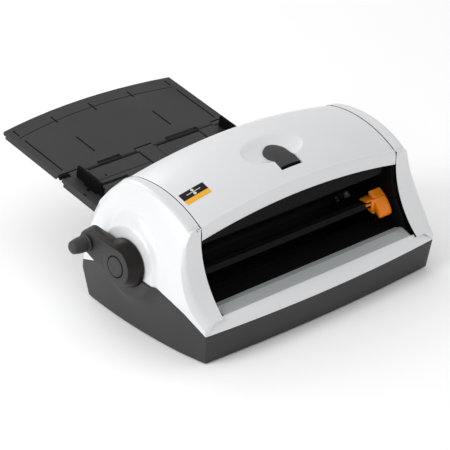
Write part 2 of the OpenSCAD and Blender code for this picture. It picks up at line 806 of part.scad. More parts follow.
module tray_extension() {
    color(charcoal) on_tray() difference() {
        union() {
            translate([0, 0, -tray_t + 1]) linear_extrude(tray_t - 1) extension_outline();
            for (x = extension_knuckles) knuckle(x[0], x[1], 1);
            both_sides() translate([tray_half - 2.5, 6, -tray_t - 2]) cube([2.5, 88, 4]);
        }
        fold_rod(-tray_half, tray_half, fold_pin_r + run_gap);
        both_sides() {
            groove(groove_x, 8, 73, 1.8);
            groove(groove_x, 83, 94, 1.8);
            groove(54.5, 20, 52, 1.8);
            groove(54.5, 84, 97, 1.8);
        }
        groove(0, 84, 99, 1.8);
        translate([0, 0, -groove_d]) linear_extrude(3) difference() {
            translate([-112, 70]) square([224, 25]);
            translate([0, arc_at - 0.5]) circle(r = arc_r, $fn = 240);
            difference() {
                translate([-130, 60]) square([260, 60]);
                translate([0, arc_at + 0.5]) circle(r = arc_r, $fn = 240);
            }
        }
    }
}
module tray_hinge_pin() {
    color(steel) on_tray() fold_rod(-106, 111, fold_pin_r);
}

module edge_guide() {
    on_tray() {
        difference() {
            union() {
                translate([100, -56, loose]) cube([3, 48, 13]);
                translate([92, -44, loose]) cube([14, 20, 1.4]);
            }
            translate([96, -62, 9]) rotate([-25, 0, 0]) cube([12, 12, 12]);
        }
        translate([100, -36 + loose, -tray_t - 2.4]) cube([3, 4 - 2 * loose, tray_t + 3]);
        translate([94, -40, -tray_t - 2.4]) cube([13, 12, 2]);
    }
}
module right_edge_guide() { color(black) edge_guide(); }
module left_edge_guide() { color(black) mirror([1, 0, 0]) edge_guide(); }

placed() base_pan();
placed() base_feet();
placed() bottom_screws();
placed() left_fairing();
placed() right_fairing();
placed() front_bezel();
placed() exit_shelf();
placed() rear_cover();
placed() left_frame();
placed() right_frame();
placed() tie_rods();
placed() throat_floor();
placed() cutter_bed();
placed() cutter_rail();
placed() crank_bush();
placed() lid_hinge_pins();
placed() feed_table();
placed() tray_hinge_pin();
placed() cartridge_frame();
placed() roller_bushes();
placed() crank_arm();
placed() crank_cap();
placed() crank_shaft();
placed() shaft_clip();
placed() knob_pin();
placed() crank_knob();
placed() upper_roller_shaft();
placed() upper_roller_sleeve();
placed() upper_roller_gear();
placed() lower_roller_shaft();
placed() lower_roller_sleeve();
placed() lower_roller_gear();
placed() upper_film_core();
placed() upper_film_roll();
placed() lower_film_core();
placed() lower_film_roll();
placed() lid_shell();
placed() smoked_guard();
placed() badge_plate();
placed() latch_button();
placed() latch_hook();
placed() latch_spring();
placed() cutter_handle();
placed() cutter_blade();
placed() tray_extension();
placed() left_edge_guide();
placed() right_edge_guide();
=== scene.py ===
# %% [markdown]
# # A hand-cranked roll laminator
# A silver arched housing sits on a dark base. Its lid is hinged at the rear, a crank on the left turns two
# rubber rollers, an orange cutter slides along the front opening, and a dark tray feeds paper in from
# behind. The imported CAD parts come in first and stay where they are: everything below is built around them.

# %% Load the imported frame
import json
import math

import bmesh
import bpy
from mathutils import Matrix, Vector
from mathutils.geometry import intersect_point_line


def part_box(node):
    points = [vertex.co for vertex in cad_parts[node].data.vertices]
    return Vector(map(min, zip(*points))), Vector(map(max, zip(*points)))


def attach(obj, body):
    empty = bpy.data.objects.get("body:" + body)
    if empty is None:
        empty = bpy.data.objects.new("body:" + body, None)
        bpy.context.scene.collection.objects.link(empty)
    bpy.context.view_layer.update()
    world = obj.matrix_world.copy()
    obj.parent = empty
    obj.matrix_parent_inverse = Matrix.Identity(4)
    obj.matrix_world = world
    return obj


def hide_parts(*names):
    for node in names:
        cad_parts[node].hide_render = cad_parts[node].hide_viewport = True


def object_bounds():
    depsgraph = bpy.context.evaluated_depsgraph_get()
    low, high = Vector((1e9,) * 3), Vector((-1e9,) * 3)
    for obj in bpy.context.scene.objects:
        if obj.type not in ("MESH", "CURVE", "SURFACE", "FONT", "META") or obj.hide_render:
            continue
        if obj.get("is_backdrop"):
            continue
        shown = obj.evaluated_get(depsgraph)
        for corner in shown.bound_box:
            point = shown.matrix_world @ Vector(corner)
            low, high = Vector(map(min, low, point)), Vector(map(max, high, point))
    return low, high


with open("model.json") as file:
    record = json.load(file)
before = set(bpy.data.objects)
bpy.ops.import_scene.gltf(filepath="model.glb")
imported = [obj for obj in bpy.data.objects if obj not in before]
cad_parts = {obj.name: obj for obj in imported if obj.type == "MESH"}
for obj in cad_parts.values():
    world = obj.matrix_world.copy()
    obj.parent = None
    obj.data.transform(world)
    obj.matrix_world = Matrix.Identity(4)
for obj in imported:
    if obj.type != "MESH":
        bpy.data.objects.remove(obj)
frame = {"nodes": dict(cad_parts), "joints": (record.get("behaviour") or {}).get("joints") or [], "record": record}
cad_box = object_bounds()

# %% [markdown]
# ## Working coordinates
# The covers are easiest to describe in millimetres about the housing's own centre line, with y = 0 a
# little ahead of the crown. Two places in the frame fix that: the middle of the lid gives x, and the lid's
# hinge, 97 mm behind y = 0, gives y.

# %% Body coordinates
MM = 0.001
HINGE_Y = 97
lid_low, lid_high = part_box("lid_shell")
joints = {joint["name"]: joint for joint in frame["joints"]}
MID_X = (lid_low.x + lid_high.x) / 2
ZERO_Y = joints["lid_open"]["pos_m"][1] - HINGE_Y * MM


def at(x, y, z):
    """A point given in body millimetres, in the frame's metres."""
    return Vector((MID_X + x * MM, ZERO_Y + y * MM, z * MM))


def local(point):
    """A frame point in body millimetres."""
    return Vector(((point[0] - MID_X) / MM, (point[1] - ZERO_Y) / MM, point[2] / MM))


HUB = local(joints["crank_spin"]["pos_m"])
KNOB = local(joints["knob_spin"]["pos_m"])
print("hub axis (mm):", [round(v, 1) for v in HUB], "knob axis:", [round(v, 1) for v in KNOB])

# %% [markdown]
# ## Camera
# The view is from the front left and above, from a little over two metres away with a long lens,
# so the housing's edges stay almost parallel.

# %% Camera
VIEW_TURN, VIEW_RISE = 42.581, 25.429
CAMERA_AT = (-1421.8, -1484.0, 1049.3)
LENS = 176.06

camera_data = bpy.data.cameras.new("camera")
camera_data.lens = LENS
camera_data.sensor_width = 36
camera_data.clip_end = 50
camera = bpy.data.objects.new("camera", camera_data)
bpy.context.scene.collection.objects.link(camera)
camera.location = at(*CAMERA_AT)
turn, rise = math.radians(VIEW_TURN), math.radians(VIEW_RISE)
back = Vector((-math.sin(turn) * math.cos(rise), -math.cos(turn) * math.cos(rise), math.sin(rise)))
camera.rotation_mode = "QUATERNION"
camera.rotation_quaternion = (-back).to_track_quat("-Z", "Y")
bpy.context.scene.camera = camera

# %% [markdown]
# ## Shared effects
# Two effects appear on nearly every moulding, so each is a node group: a fine sparked grain, which lifts a
# bump and breaks up the roughness, and soft handling marks, which change colour and gloss over a few
# centimetres. Both read Object coordinates, so they stay put on every piece.


# %% Node groups
def new_group(name, inputs, outputs):
    group = bpy.data.node_groups.new(name, "ShaderNodeTree")
    for label, value in inputs:
        socket = group.interface.new_socket(label, in_out="INPUT", socket_type="NodeSocketFloat")
        socket.default_value = value
    for label in outputs:
        group.interface.new_socket(label, in_out="OUTPUT", socket_type="NodeSocketFloat")
    return group, group.nodes.new("NodeGroupInput"), group.nodes.new("NodeGroupOutput")


def add_node(tree, kind, **values):
    node = tree.nodes.new(kind)
    for key, value in values.items():
        setattr(node, key, value)
    return node


def wire(tree, links):
    """Joins nodes, each link given as (node, output, node, input)."""
    for source, output, target, taker in links:
        tree.links.new(source.outputs[output], target.inputs[taker])


def make_grain():
    sizes = [("Scale", 900.0), ("Strength", 1.0)]
    group, given, result = new_group("moulded_grain", sizes, ["Height", "Fleck"])
    place = add_node(group, "ShaderNodeTexCoord")
    fine = add_node(group, "ShaderNodeTexNoise")
    fine.inputs["Detail"].default_value = 3
    fine.inputs["Roughness"].default_value = 0.6
    cells = add_node(group, "ShaderNodeTexVoronoi")
    lift = add_node(group, "ShaderNodeMath", operation="MULTIPLY")
    links = [(place, "Object", fine, "Vector"),
             (place, "Object", cells, "Vector"),
             (given, "Scale", fine, "Scale"),
             (given, "Scale", cells, "Scale"),
             (fine, "Fac", lift, 0),
             (given, "Strength", lift, 1),
             (lift, 0, result, "Height"),
             (cells, "Distance", result, "Fleck")]
    wire(group, links)
    return group


def make_handling():
    group, given, result = new_group("handling_marks", [("Scale", 14.0), ("Amount", 0.5)], ["Mark"])
    place = add_node(group, "ShaderNodeTexCoord")
    cloud = add_node(group, "ShaderNodeTexNoise")
    cloud.inputs["Detail"].default_value = 5
    cloud.inputs["Roughness"].default_value = 0.55
    spread = add_node(group, "ShaderNodeMapRange")
    spread.inputs["From Min"].default_value = 0.35
    spread.inputs["From Max"].default_value = 0.7
    amount = add_node(group, "ShaderNodeMath", operation="MULTIPLY")
    links = [(place, "Object", cloud, "Vector"),
             (given, "Scale", cloud, "Scale"),
             (cloud, "Fac", spread, "Value"),
             (spread, "Result", amount, 0),
             (given, "Amount", amount, 1),
             (amount, 0, result, "Mark")]
    wire(group, links)
    return group


grain_group, handling_group = make_grain(), make_handling()
print("node groups:", grain_group.name, handling_group.name)

# %% [markdown]
# ## How a finish is made
# One function lays out every finish: a base colour that the handling marks shift a little, a roughness
# that they raise, and a bump from the grain. The constants that make a plastic glossy or a metal metallic
# sit on the shader's own sockets.


# %% Finish maker
def finish(name, colour, rough, shift=0.06, rough_shift=0.08, grain=900.0, bump=0.02, fleck=0.0, **sockets):
    material = bpy.data.materials.new(name)
    material.use_nodes = True
    tree = material.node_tree
    shader = tree.nodes["Principled BSDF"]
    marks = add_node(tree, "ShaderNodeGroup", node_tree=handling_group)
    texture = add_node(tree, "ShaderNodeGroup", node_tree=grain_group)
    texture.inputs["Scale"].default_value = grain
    blend = add_node(tree, "ShaderNodeMix", data_type="RGBA")
    blend.inputs["A"].default_value = (*colour, 1)
    blend.inputs["B"].default_value = (*[min(1, c * (1 - shift)) for c in colour], 1)
    flecks = add_node(tree, "ShaderNodeMix", data_type="RGBA", blend_type="MULTIPLY")
    flecks.inputs["Factor"].default_value = fleck
    gloss = add_node(tree, "ShaderNodeMapRange")
    gloss.inputs["To Min"].default_value = rough
    gloss.inputs["To Max"].default_value = min(1, rough + rough_shift)
    height = add_node(tree, "ShaderNodeBump")
    height.inputs["Strength"].default_value = 1
    height.inputs["Distance"].default_value = bump * MM
    links = [(marks, "Mark", blend, "Factor"),
             (blend, "Result", flecks, "A"),
             (texture, "Fleck", flecks, "B"),
             (flecks, "Result", shader, "Base Color"),
             (marks, "Mark", gloss, "Value"),
             (gloss, "Result", shader, "Roughness"),
             (texture, "Height", height, "Height"),
             (height, "Normal", shader, "Normal")]
    wire(tree, links)
    for label, value in sockets.items():
        shader.inputs[label.replace("_", " ")].default_value = value
    return material


# %% [markdown]
# ## Outer plastics
# The covers are satin silver paint under a clear coat, with a very fine fleck. The base and tray are
# spark-textured charcoal: the same grain, coarser and deeper. The inside is a black that hardly reflects.

# %% Outer plastics
silver = finish("silver_paint", (0.74, 0.75, 0.76), 0.32, shift=0.03, bump=0.004, grain=1600, fleck=0.06,
                Metallic=0.2, Coat_Weight=0.3, Coat_Roughness=0.2)
# The exit shelf is the same silver paint, darkened as painted shade because it sits low inside the opening.
shelf_silver_painted_shade = finish("shelf_silver_in_painted_shade", (0.36, 0.385, 0.39), 0.38, shift=0.08, bump=0.004, grain=1600,
                    Metallic=0.2)
spark = {"shift": 0.2, "bump": 0.03, "grain": 1300, "fleck": 0.3, "Specular_IOR_Level": 0.35}
charcoal = finish("charcoal_moulding", (0.036, 0.036, 0.038), 0.5, **spark)
tray_grey = finish("tray_moulding", (0.026, 0.026, 0.027), 0.5, **spark)
black = finish("black_moulding", (0.003, 0.003, 0.003), 0.6, bump=0.02, grain=1300,
               Specular_IOR_Level=0.06)
gloss_black = finish("polished_black", (0.007, 0.005, 0.004), 0.25, bump=0.003, Specular_IOR_Level=0.22)
smoked = finish("smoked_plastic", (0.003, 0.003, 0.003), 0.2, bump=0.001, Alpha=0.97,
                Specular_IOR_Level=0.06)
orange = finish("orange_plastic", (0.88, 0.23, 0.002), 0.3, shift=0.3, bump=0.006, Specular_IOR_Level=0.3,
                Coat_Weight=0.08)
amber = finish("amber_print", (0.80, 0.40, 0.01), 0.4, bump=0.002)
pale_print = finish("pale_print", (0.62, 0.62, 0.60), 0.4, bump=0.002)
print("outer finishes:", silver.name, charcoal.name, orange.name)

# %% [markdown]
# ## Metals, rubber and film
# The working parts use the same recipe with other values: full metal for ground steel, a matt bump for
# rubber and card, and a smooth dark face for tightly wound film.

# %% Metals, rubber and film
dark_steel = finish("black_sheet", (0.004, 0.004, 0.004), 0.55, bump=0.01, Specular_IOR_Level=0.1)
bright_steel = finish("ground_steel", (0.50, 0.50, 0.52), 0.28, bump=0.006, grain=700, Metallic=1.0)
# Darkened steel; on the tray's hinge pin it is painted shade for the pin's place in the hinge gap.
darkened_steel = finish("darkened_steel", (0.03, 0.03, 0.032), 0.35, bump=0.006, grain=700, Metallic=0.8)
rubber = finish("black_rubber", (0.012, 0.012, 0.012), 0.75, bump=0.04, grain=1500, Specular_IOR_Level=0.3)
roller_rubber = finish("roller_rubber", (0.006, 0.006, 0.006), 0.6, bump=0.02, grain=1500,
                       Specular_IOR_Level=0.2)
gear_plastic = finish("acetal", (0.42, 0.40, 0.34), 0.4, bump=0.01)
wound_film = finish("wound_film", (0.05, 0.052, 0.056), 0.18, bump=0.004, grain=500,
                    Specular_IOR_Level=0.35)
card = finish("core_card", (0.30, 0.22, 0.14), 0.8, bump=0.06, grain=500)
print("finishes so far:", len(bpy.data.materials))

# %% [markdown]
# ## From grids to a skin
# Every cover is a rule: a grid of points whose rows and columns follow the shape. `skin` turns grids into
# one welded mesh and makes its faces look away from a point inside. Welding comes first, so that the
# normals are worked out over the whole skin at once.


# %% Grids to meshes
WELD, SLIVER = 0.05, 0.001


def new_piece(name, mesh):
    """An object at the origin that shows a mesh."""
    piece = bpy.data.objects.new(name, mesh)
    bpy.context.scene.collection.objects.link(piece)
    return piece


def skin(name, grids, inside, materials):
    """One welded mesh from (rows of points, material slot) grids, facing away from a point inside."""
    mesh = bpy.data.meshes.new(name)
    shape = bmesh.new()
    for rows, slot in grids:
        points = [[shape.verts.new(at(*p)) for p in row] for row in rows]
        for here, after in zip(points, points[1:]):
            for j in range(len(here) - 1):
                face = shape.faces.new((here[j], here[j + 1], after[j + 1], after[j]))
                face.material_index = slot
    bmesh.ops.remove_doubles(shape, verts=shape.verts, dist=WELD * MM)
    bmesh.ops.dissolve_degenerate(shape, edges=shape.edges, dist=SLIVER * MM)
    bmesh.ops.recalc_face_normals(shape, faces=shape.faces)
    core = at(*inside)
    outward = sum(f.normal.dot(f.calc_center_median() - core) * f.calc_area() for f in shape.faces)
    if outward < 0:
        bmesh.ops.reverse_faces(shape, faces=shape.faces)
    shape.to_mesh(mesh)
    shape.free()
    for material in materials:
        mesh.materials.append(material)
    return new_piece(name, mesh)


print("skins are welded at", WELD, "mm")

# %% [markdown]
# ## Walls, rims and bodies
# A moulding has an even wall and rims that are never quite sharp. Solidify and Bevel make both, and become
# plain mesh at once. `settle` shades the piece and hands it to the CAD body that it moves with.


# %% Walls, rims and bodies
def bake_modifiers(piece):
    """Turns the piece's modifiers into its mesh."""
    bpy.context.view_layer.update()
    depsgraph = bpy.context.evaluated_depsgraph_get()
    made = bpy.data.meshes.new_from_object(piece.evaluated_get(depsgraph))
    piece.modifiers.clear()
    piece.data = made
    made.name = piece.name


def thicken(piece, wall, rim, angle=40, segments=2):
    """Gives a skin its wall, inwards, and rounds its rims."""
    if wall:
        thick = piece.modifiers.new("wall", "SOLIDIFY")
        thick.thickness = wall * MM
        thick.offset = -1
    if rim:
        rounding = piece.modifiers.new("rim", "BEVEL")
        rounding.width = rim * MM
        rounding.segments = segments
        rounding.limit_method = "ANGLE"
        rounding.angle_limit = math.radians(angle)
    bake_modifiers(piece)


def settle(piece, body, slot_name, *nodes, wall=0.0, rim=0.0, angle=40, segments=2, crease=38):
    """Finishes a piece and hands it to its body."""
    if wall or rim:
        thicken(piece, wall, rim, angle, segments)
    for polygon in piece.data.polygons:
        polygon.use_smooth = True
    piece.data.set_sharp_from_angle(angle=math.radians(crease))
    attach(piece, body)
    if nodes:
        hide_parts(*nodes)
    print(piece.name, "faces:", len(piece.data.polygons))


# %% [markdown]
# ## Number helpers
# The rules below blend two values, divide a span evenly, or read a value off a short list of stations.


# %% Number helpers
def lerp(a, b, t):
    return a + (b - a) * t


def steps(a, b, count):
    return [lerp(a, b, i / count) for i in range(count + 1)]


def along(line, where):
    """Reads a value off a list of (position, value) points."""
    if where <= line[0][0]:
        return line[0][1]
    for (a, va), (b, vb) in zip(line, line[1:]):
        if where <= b:
            return lerp(va, vb, (where - a) / (b - a))
    return line[-1][1]


print("a span in four:", steps(0, 1, 4))

# %% [markdown]
# ## The housing's rule
# Seen from the side, the top is one arc. Seen from above, the walls are barrels, widest 30 mm ahead of
# y = 0, and in section they lean outwards and then roll in under the lid's seam. These few numbers repeat
# the CAD's own, so the looks stay on the CAD's solids.

# %% Housing numbers
CROWN_Y, CROWN_Z, CROWN_R, CROWN_RISE = 25, 29, 127, 13
FRONT_Y, FRONT_Z, FRONT_BOW, BROW_Z = -85.7, 33, 8, 131
FOOT_HALF, WIDEST_Y, LEAN = 162, -30, 0.128
BULGE_FRONT, BULGE_REAR = 0.0013, 0.0007
ROLL_IN, ROLL_GAIN, ROLL_DEPTH, ROLL_POWER = 9.5, 17, 85, 2.2
FLARE_Y, FLARE = 54, 0.035
LID_HALF, SEAM, WALL = 136.4, 1.1, 2.5
SCOOP_Y, SCOOP_Z, SCOOP_R, SCOOP_DROP = -155, 120, 103, 3
BROW_Y = CROWN_Y - math.sqrt(CROWN_R**2 - (BROW_Z - CROWN_Z) ** 2)
REAR = [(44, 154.6), (54, 151), (76, 133), (94, 115), (105, 98), (113, 84), (118, 60)]
SPLIT = [(-85.7, 33), (-74, 41.5), (-60, 50.8), (-44, 58.2), (-24, 64.8), (-4, 67.6), (18, 66.8),
         (50, 61.5), (90, 51.4), (116, 42), (140, 38)]
REAR_WALL = [(1.5, 111), (33, 118), (62, 117), (84, 113)]
REAR_SPLIT_Z = 42
print("the brow is at y =", round(BROW_Y, 1), "mm, the crown at z =", CROWN_Z + CROWN_R + CROWN_RISE, "mm")

# %% [markdown]
# ## Top and walls as functions
# `top_at` gives the side view's outline and `wall_x` the half width at any station and height. The left
# wall also carries a raised boss behind the crank, joined to it by a smooth maximum, which leaves a fillet.


# %% Top and walls as functions
def top_at(y):
    """Height of the side cover's top edge."""
    if y < BROW_Y:
        return BROW_Z
    if y < REAR[0][0]:
        return CROWN_Z + math.sqrt(CROWN_R**2 - (y - CROWN_Y) ** 2)
    return along(REAR, y)


def shoulder(depth):
    """How far the wall stands out at a depth below the top edge."""
    left = 1 - max(0, min(ROLL_DEPTH, depth)) / ROLL_DEPTH
    return -ROLL_IN + ROLL_GAIN * (1 - left**ROLL_POWER)


def wall_x(y, z):
    """Half the width of the body at a station and a height."""
    bulge = (BULGE_FRONT if y < WIDEST_Y else BULGE_REAR) * (y - WIDEST_Y) ** 2
    return FOOT_HALF - bulge + min(LEAN * z, shoulder(top_at(y) - z) + FLARE * max(0, y - FLARE_Y))


def smooth_max(a, b, reach):
    near = max(reach - abs(a - b), 0) / reach
    return max(a, b) + near * near * reach / 4


RIGHT_INSET = 0.3


def right_x(y, z):
    """The right wall, a hair inside the CAD's."""
    return wall_x(y, z) - RIGHT_INSET


BOSS_FACE, BOSS_IN, BOSS_TOP_R, BOSS_FOOT_R = 172, 150, 38, 55


def left_x(y, z, reach):
    """The left wall with the raised boss behind the crank, blended over a fillet."""
    r = math.hypot(y - HUB.y, z - HUB.z)
    cone = lerp(BOSS_FACE, BOSS_IN, (r - BOSS_TOP_R) / (BOSS_FOOT_R - BOSS_TOP_R))
    return smooth_max(wall_x(y, z), min(BOSS_FACE, cone), reach)


def scoop_y(radius, z):
    """Station of the round front opening at a height."""
    return SCOOP_Y + math.sqrt(max(1, radius**2 - (z - SCOOP_Z) ** 2))


print("widest half width:", round(max(wall_x(WIDEST_Y, z) for z in range(30, 90)), 1), "mm")

# %% [markdown]
# ## The covers' reveal and wall grid
# Each cover has three surfaces that meet: the barrel wall, the narrow strip along the lid's seam, and the
# round reveal at the front opening, whose outer edge is eased by a band that widens downwards. The wall is
# a patch between four curves (split line, top arc, reveal and rear edge), which keeps the grid even while
# its edges run exactly along the seams.

# %% The covers' reveal and wall grid
WALL_COLUMNS, WALL_ROWS, TOP_SAMPLES = 100, 64, 400
SPLIT_GAP, TOP_END, SPLIT_END = 0.6, 117.6, 116
BAND_WIDTH, BAND_POWER = 10.4, 1.6


def ease_band(z):
    """Width of the eased band beside the reveal."""
    up = max(0, min(1, (z - FRONT_Z) / (BROW_Z - FRONT_Z)))
    return BAND_WIDTH * (1 - up**BAND_POWER)


def reveal_y(x, z, edge):
    """Depth of the reveal's face at |x|, where edge is the wall's own |x| at that height."""
    band = max(0.01, ease_band(z))
    t = max(0, min(1, (x - (edge - band)) / band))
    return max(FRONT_Y, scoop_y(SCOOP_R + SCOOP_DROP * t**1.5, z))


def crease_y(z):
    """Station where the wall meets the reveal."""
    return max(FRONT_Y, scoop_y(SCOOP_R + SCOOP_DROP, z))


def spaced_top(count):
    """Stations on the top edge, evenly spaced by its length."""
    fine = [lerp(crease_y(BROW_Z), TOP_END, i / TOP_SAMPLES) for i in range(TOP_SAMPLES + 1)]
    run = [0]
    for a, b in zip(fine, fine[1:]):
        run.append(run[-1] + math.hypot(b - a, top_at(b) - top_at(a)))
    picked = []
    for i in range(count + 1):
        goal = run[-1] * i / count
        k = next(n for n, length in enumerate(run) if length >= goal - 1e-9)
        picked.append(fine[k])
    return picked


def wall_patch():
    """Rows of (y, z) from the split line to the top edge, columns from front to rear."""
    tops = spaced_top(WALL_COLUMNS)
    rows = []
    for i in range(WALL_ROWS + 1):
        v = i / WALL_ROWS
        row = []
        for j, top_y in enumerate(tops):
            u = j / WALL_COLUMNS
            low_y = lerp(FRONT_Y, SPLIT_END, u)
            low = Vector((low_y, along(SPLIT, low_y) + SPLIT_GAP))
            high = Vector((top_y, top_at(top_y) if j else BROW_Z))
            p = low.lerp(high, v)
            z_front = lerp(FRONT_Z + SPLIT_GAP, BROW_Z, v)
            straight = lerp(FRONT_Y, tops[0], v)
            p.x += (crease_y(z_front) - straight) * (1 - u) ** 1.5
            row.append((p.x, p.y))
        rows.append(row)
    return rows


print("wall grid:", WALL_COLUMNS, "by", WALL_ROWS)

# %% [markdown]
# ## Side covers
# The wall's top rolls over into the strip beside the lid on a small curve that catches a highlight. Each
# row of the reveal ends on the wall's own front edge, so the two weld together. The walls that face each
# other across the seam are painted black as shade, which keeps the gap a dark line.

# %% Side covers
CREASE_R, CREASE_ROWS, STRIP_ROWS, REVEAL_COLUMNS = 4.5, 6, 5, 14
MITRE_X, MITRE_Z, CORNER_X = 149, 44.5, 162.2
BOSS_FILLET, RIM, SEAM_Z = 3, 0.4, 40
SEAM_X = LID_HALF + SEAM


def paint_seam_shade(piece):
    """Paints shade black onto the walls that face each other across the lid's seams."""
    for polygon in piece.data.polygons:
        place = local(polygon.center)
        beside = abs(abs(place.x) - LID_HALF - SEAM / 2) < SEAM
        if abs(polygon.normal.x) > 0.9 and beside and place.z > SEAM_Z:
            # Painted shade: the black slot stands in for the shade inside the narrow seam.
            polygon.material_index = 1


def ease_crease(wall, corners, side):
    """Rolls the top of the wall over into the strip along the seam."""
    rows = [[] for _ in range(CREASE_ROWS + 1)]
    for below, corner in zip(wall[-1], corners):
        c = Vector(corner)
        start = c + (Vector(below) - c).normalized() * CREASE_R
        end = c + Vector((-side, 0, 0)) * CREASE_R
        for k, t in enumerate(steps(0, 1, CREASE_ROWS)):
            rows[k].append(tuple(start * (1 - t) ** 2 + c * 2 * t * (1 - t) + end * t**2))
    rolled = rows[-1]
    for t in steps(0, 1, STRIP_ROWS)[1:]:
        rows.append([(side * lerp(abs(x), SEAM_X, t), y, z) for x, y, z in rolled])
    while abs(wall[-1][0][2] - corners[0][2]) < CREASE_R:
        wall.pop()
    return rows


def reveal_row(line, side):
    """A row of the reveal, from the seam to the front end of one of the wall's rows."""
    edge, z = abs(line[0][0]), line[0][2]
    up = (z - FRONT_Z - SPLIT_GAP) / (BROW_Z - FRONT_Z - SPLIT_GAP)
    row = []
    for t in steps(0, 1, REVEAL_COLUMNS):
        x = lerp(SEAM_X, edge, t)
        low = along([(SEAM_X, MITRE_Z), (MITRE_X, MITRE_Z), (CORNER_X, FRONT_Z + SPLIT_GAP)], x)
        height = lerp(low, BROW_Z, up)
        row.append((side * x, reveal_y(x, height, edge), height))
    row[-1] = line[0]
    return row


def side_cover(side, name, node):
    wall = []
    for row in wall_patch():
        half = [left_x(y, z, BOSS_FILLET) if side < 0 else right_x(y, z) for y, z in row]
        wall.append([(side * x, y, z) for x, (y, z) in zip(half, row)])
    corners = wall.pop()
    soft_rows = ease_crease(wall, corners, side)
    front = [reveal_row(line, side) for line in wall + soft_rows]
    grids = [(wall + [soft_rows[0]], 0), (soft_rows, 0), (front, 0)]
    piece = skin(name, grids, (side * 120, 10, 60), [silver, black])
    thicken(piece, WALL, RIM)
    paint_seam_shade(piece)
    settle(piece, "chassis", "silver_plastic", node)


side_cover(-1, "left_cover", "left_fairing")
side_cover(1, "right_cover", "right_fairing")

# %% [markdown]
# ## The lid's surface
# The lid's height is a rule as well: the side view's arc, plus a crown that falls away towards both
# seams, minus an oval dish that is pressed in round the button.

# %% The lid's surface
DISH_X, DISH_Y, DISH_HALF, DISH_REAR, DISH_FRONT, DISH_DEPTH = -2.5, -9.5, 40, 20, 19, 6.5
CROWN_END_Z, CROWN_FADE = 95, 50


def crown(x):
    return CROWN_RISE * (1 - (x / LID_HALF) ** 2)


def lid_z(x, y):
    """Height of the undented lid."""
    if y < REAR[0][0]:
        return CROWN_Z + math.sqrt(CROWN_R**2 - (y - CROWN_Y) ** 2) + crown(x)
    z = along(REAR, y)
    return z + crown(x) * min(1, max(0, (z - CROWN_END_Z) / CROWN_FADE))


def dish(x, y):
    """How far the dish sinks at a point."""
    reach = DISH_REAR if y > DISH_Y else DISH_FRONT
    r2 = ((x - DISH_X) / DISH_HALF) ** 2 + ((y - DISH_Y) / reach) ** 2
    return DISH_DEPTH * max(0, 1 - r2) ** 0.9


def lid_point(x, y):
    return (x, y, lid_z(x, y) - dish(x, y))


print("bottom of the dish: z =", round(lid_point(DISH_X, DISH_Y)[2], 1), "mm")

# %% [markdown]
# ## The button's slot
# The grid is fine enough to be snapped instead of cut: points close to the outline move onto it, and the
# faces inside are deleted. The wall's thickness comes afterwards, so the slot gets proper sides.

# %% The button's slot
SLOT_X, SLOT_HALF, SLOT_FRONT, SLOT_REAR = -1, 14.8, -38.6, -1
SLOT_MIDDLE = SLOT_REAR - SLOT_HALF
SNAP, SNAP_MARGIN, SLOT_ARC, SLOT_SLIVER = 0.75, 2, 40, 0.02


def slot_outline():
    """The slot, square in front and round at the rear."""
    points = [(SLOT_X - SLOT_HALF, SLOT_FRONT), (SLOT_X + SLOT_HALF, SLOT_FRONT)]
    for a in steps(0, math.pi, SLOT_ARC):
        points.append((SLOT_X + SLOT_HALF * math.cos(a), SLOT_MIDDLE + SLOT_HALF * math.sin(a)))
    return [Vector(p) for p in points]


def near_slot(place):
    if abs(place.x - SLOT_X) > SLOT_HALF + SNAP_MARGIN:
        return False
    return SLOT_FRONT - SNAP_MARGIN < place.y < SLOT_REAR + SNAP_MARGIN


def in_slot(place):
    """True for a place over the slot."""
    if place.z < BROW_Z or not SLOT_FRONT < place.y < SLOT_REAR or abs(place.x - SLOT_X) > SLOT_HALF:
        return False
    return place.y < SLOT_MIDDLE or math.hypot(place.x - SLOT_X, place.y - SLOT_MIDDLE) < SLOT_HALF


def cut_slot(piece):
    """Opens the button's slot: points near its outline move onto it, and the faces inside go."""
    outline = slot_outline()
    shape = bmesh.new()
    shape.from_mesh(piece.data)
    for corner in shape.verts:
        place = local(corner.co)
        if not near_slot(place):
            continue
        nearest, gap = None, SNAP
        for a, b in zip(outline, outline[1:] + outline[:1]):
            foot, part = intersect_point_line(place.xy, a, b)
            foot = a.lerp(b, max(0, min(1, part)))
            if (foot - place.xy).length < gap:
                nearest, gap = foot, (foot - place.xy).length
        if nearest:
            corner.co = at(*lid_point(nearest.x, nearest.y))
    inside = [face for face in shape.faces if in_slot(local(face.calc_center_median()))]
    bmesh.ops.delete(shape, geom=inside, context="FACES")
    bmesh.ops.dissolve_degenerate(shape, edges=shape.edges, dist=SLOT_SLIVER * MM)
    shape.to_mesh(piece.data)
    shape.free()


print("slot:", 2 * SLOT_HALF, "by", round(SLOT_REAR - SLOT_FRONT, 1), "mm")

# %% [markdown]
# ## Lid
# The lid is one grid: columns across the machine, closer together round the dish, and rows from the
# arched lip, round a small roll at the brow, over the crown and down to the hinge edge.

# %% Lid
LIP_Z, LIP_ARCH, LIP_SWELL = 117, 12, 0.4
LIP_Y, LIP_TOP, ROLL_END = BROW_Y - 1.2, BROW_Z - 1.6, BROW_Y + 1.1
DENSE_X, HINGE_EDGE_Y = 48, 105
BROW_ANGLE, DISH_ANGLE, REAR_ANGLE = 126.6, 100, 83


def lid_stations():
    """Stations from the brow to the hinge edge, evenly spaced round the arc."""
    angles = steps(BROW_ANGLE, DISH_ANGLE, 90) + steps(DISH_ANGLE, REAR_ANGLE, 14)[1:]
    ys = [CROWN_Y + CROWN_R * math.cos(math.radians(a)) for a in angles]
    ys += steps(REAR[0][0], HINGE_EDGE_Y, 26)[1:]
    return [ROLL_END] + [y for y in ys if y > BROW_Y + 1.0]


def curve(a, b, c, t):
    """A point on the curve from a to c that leans towards b."""
    return (1 - t) ** 2 * a + 2 * t * (1 - t) * b + t**2 * c


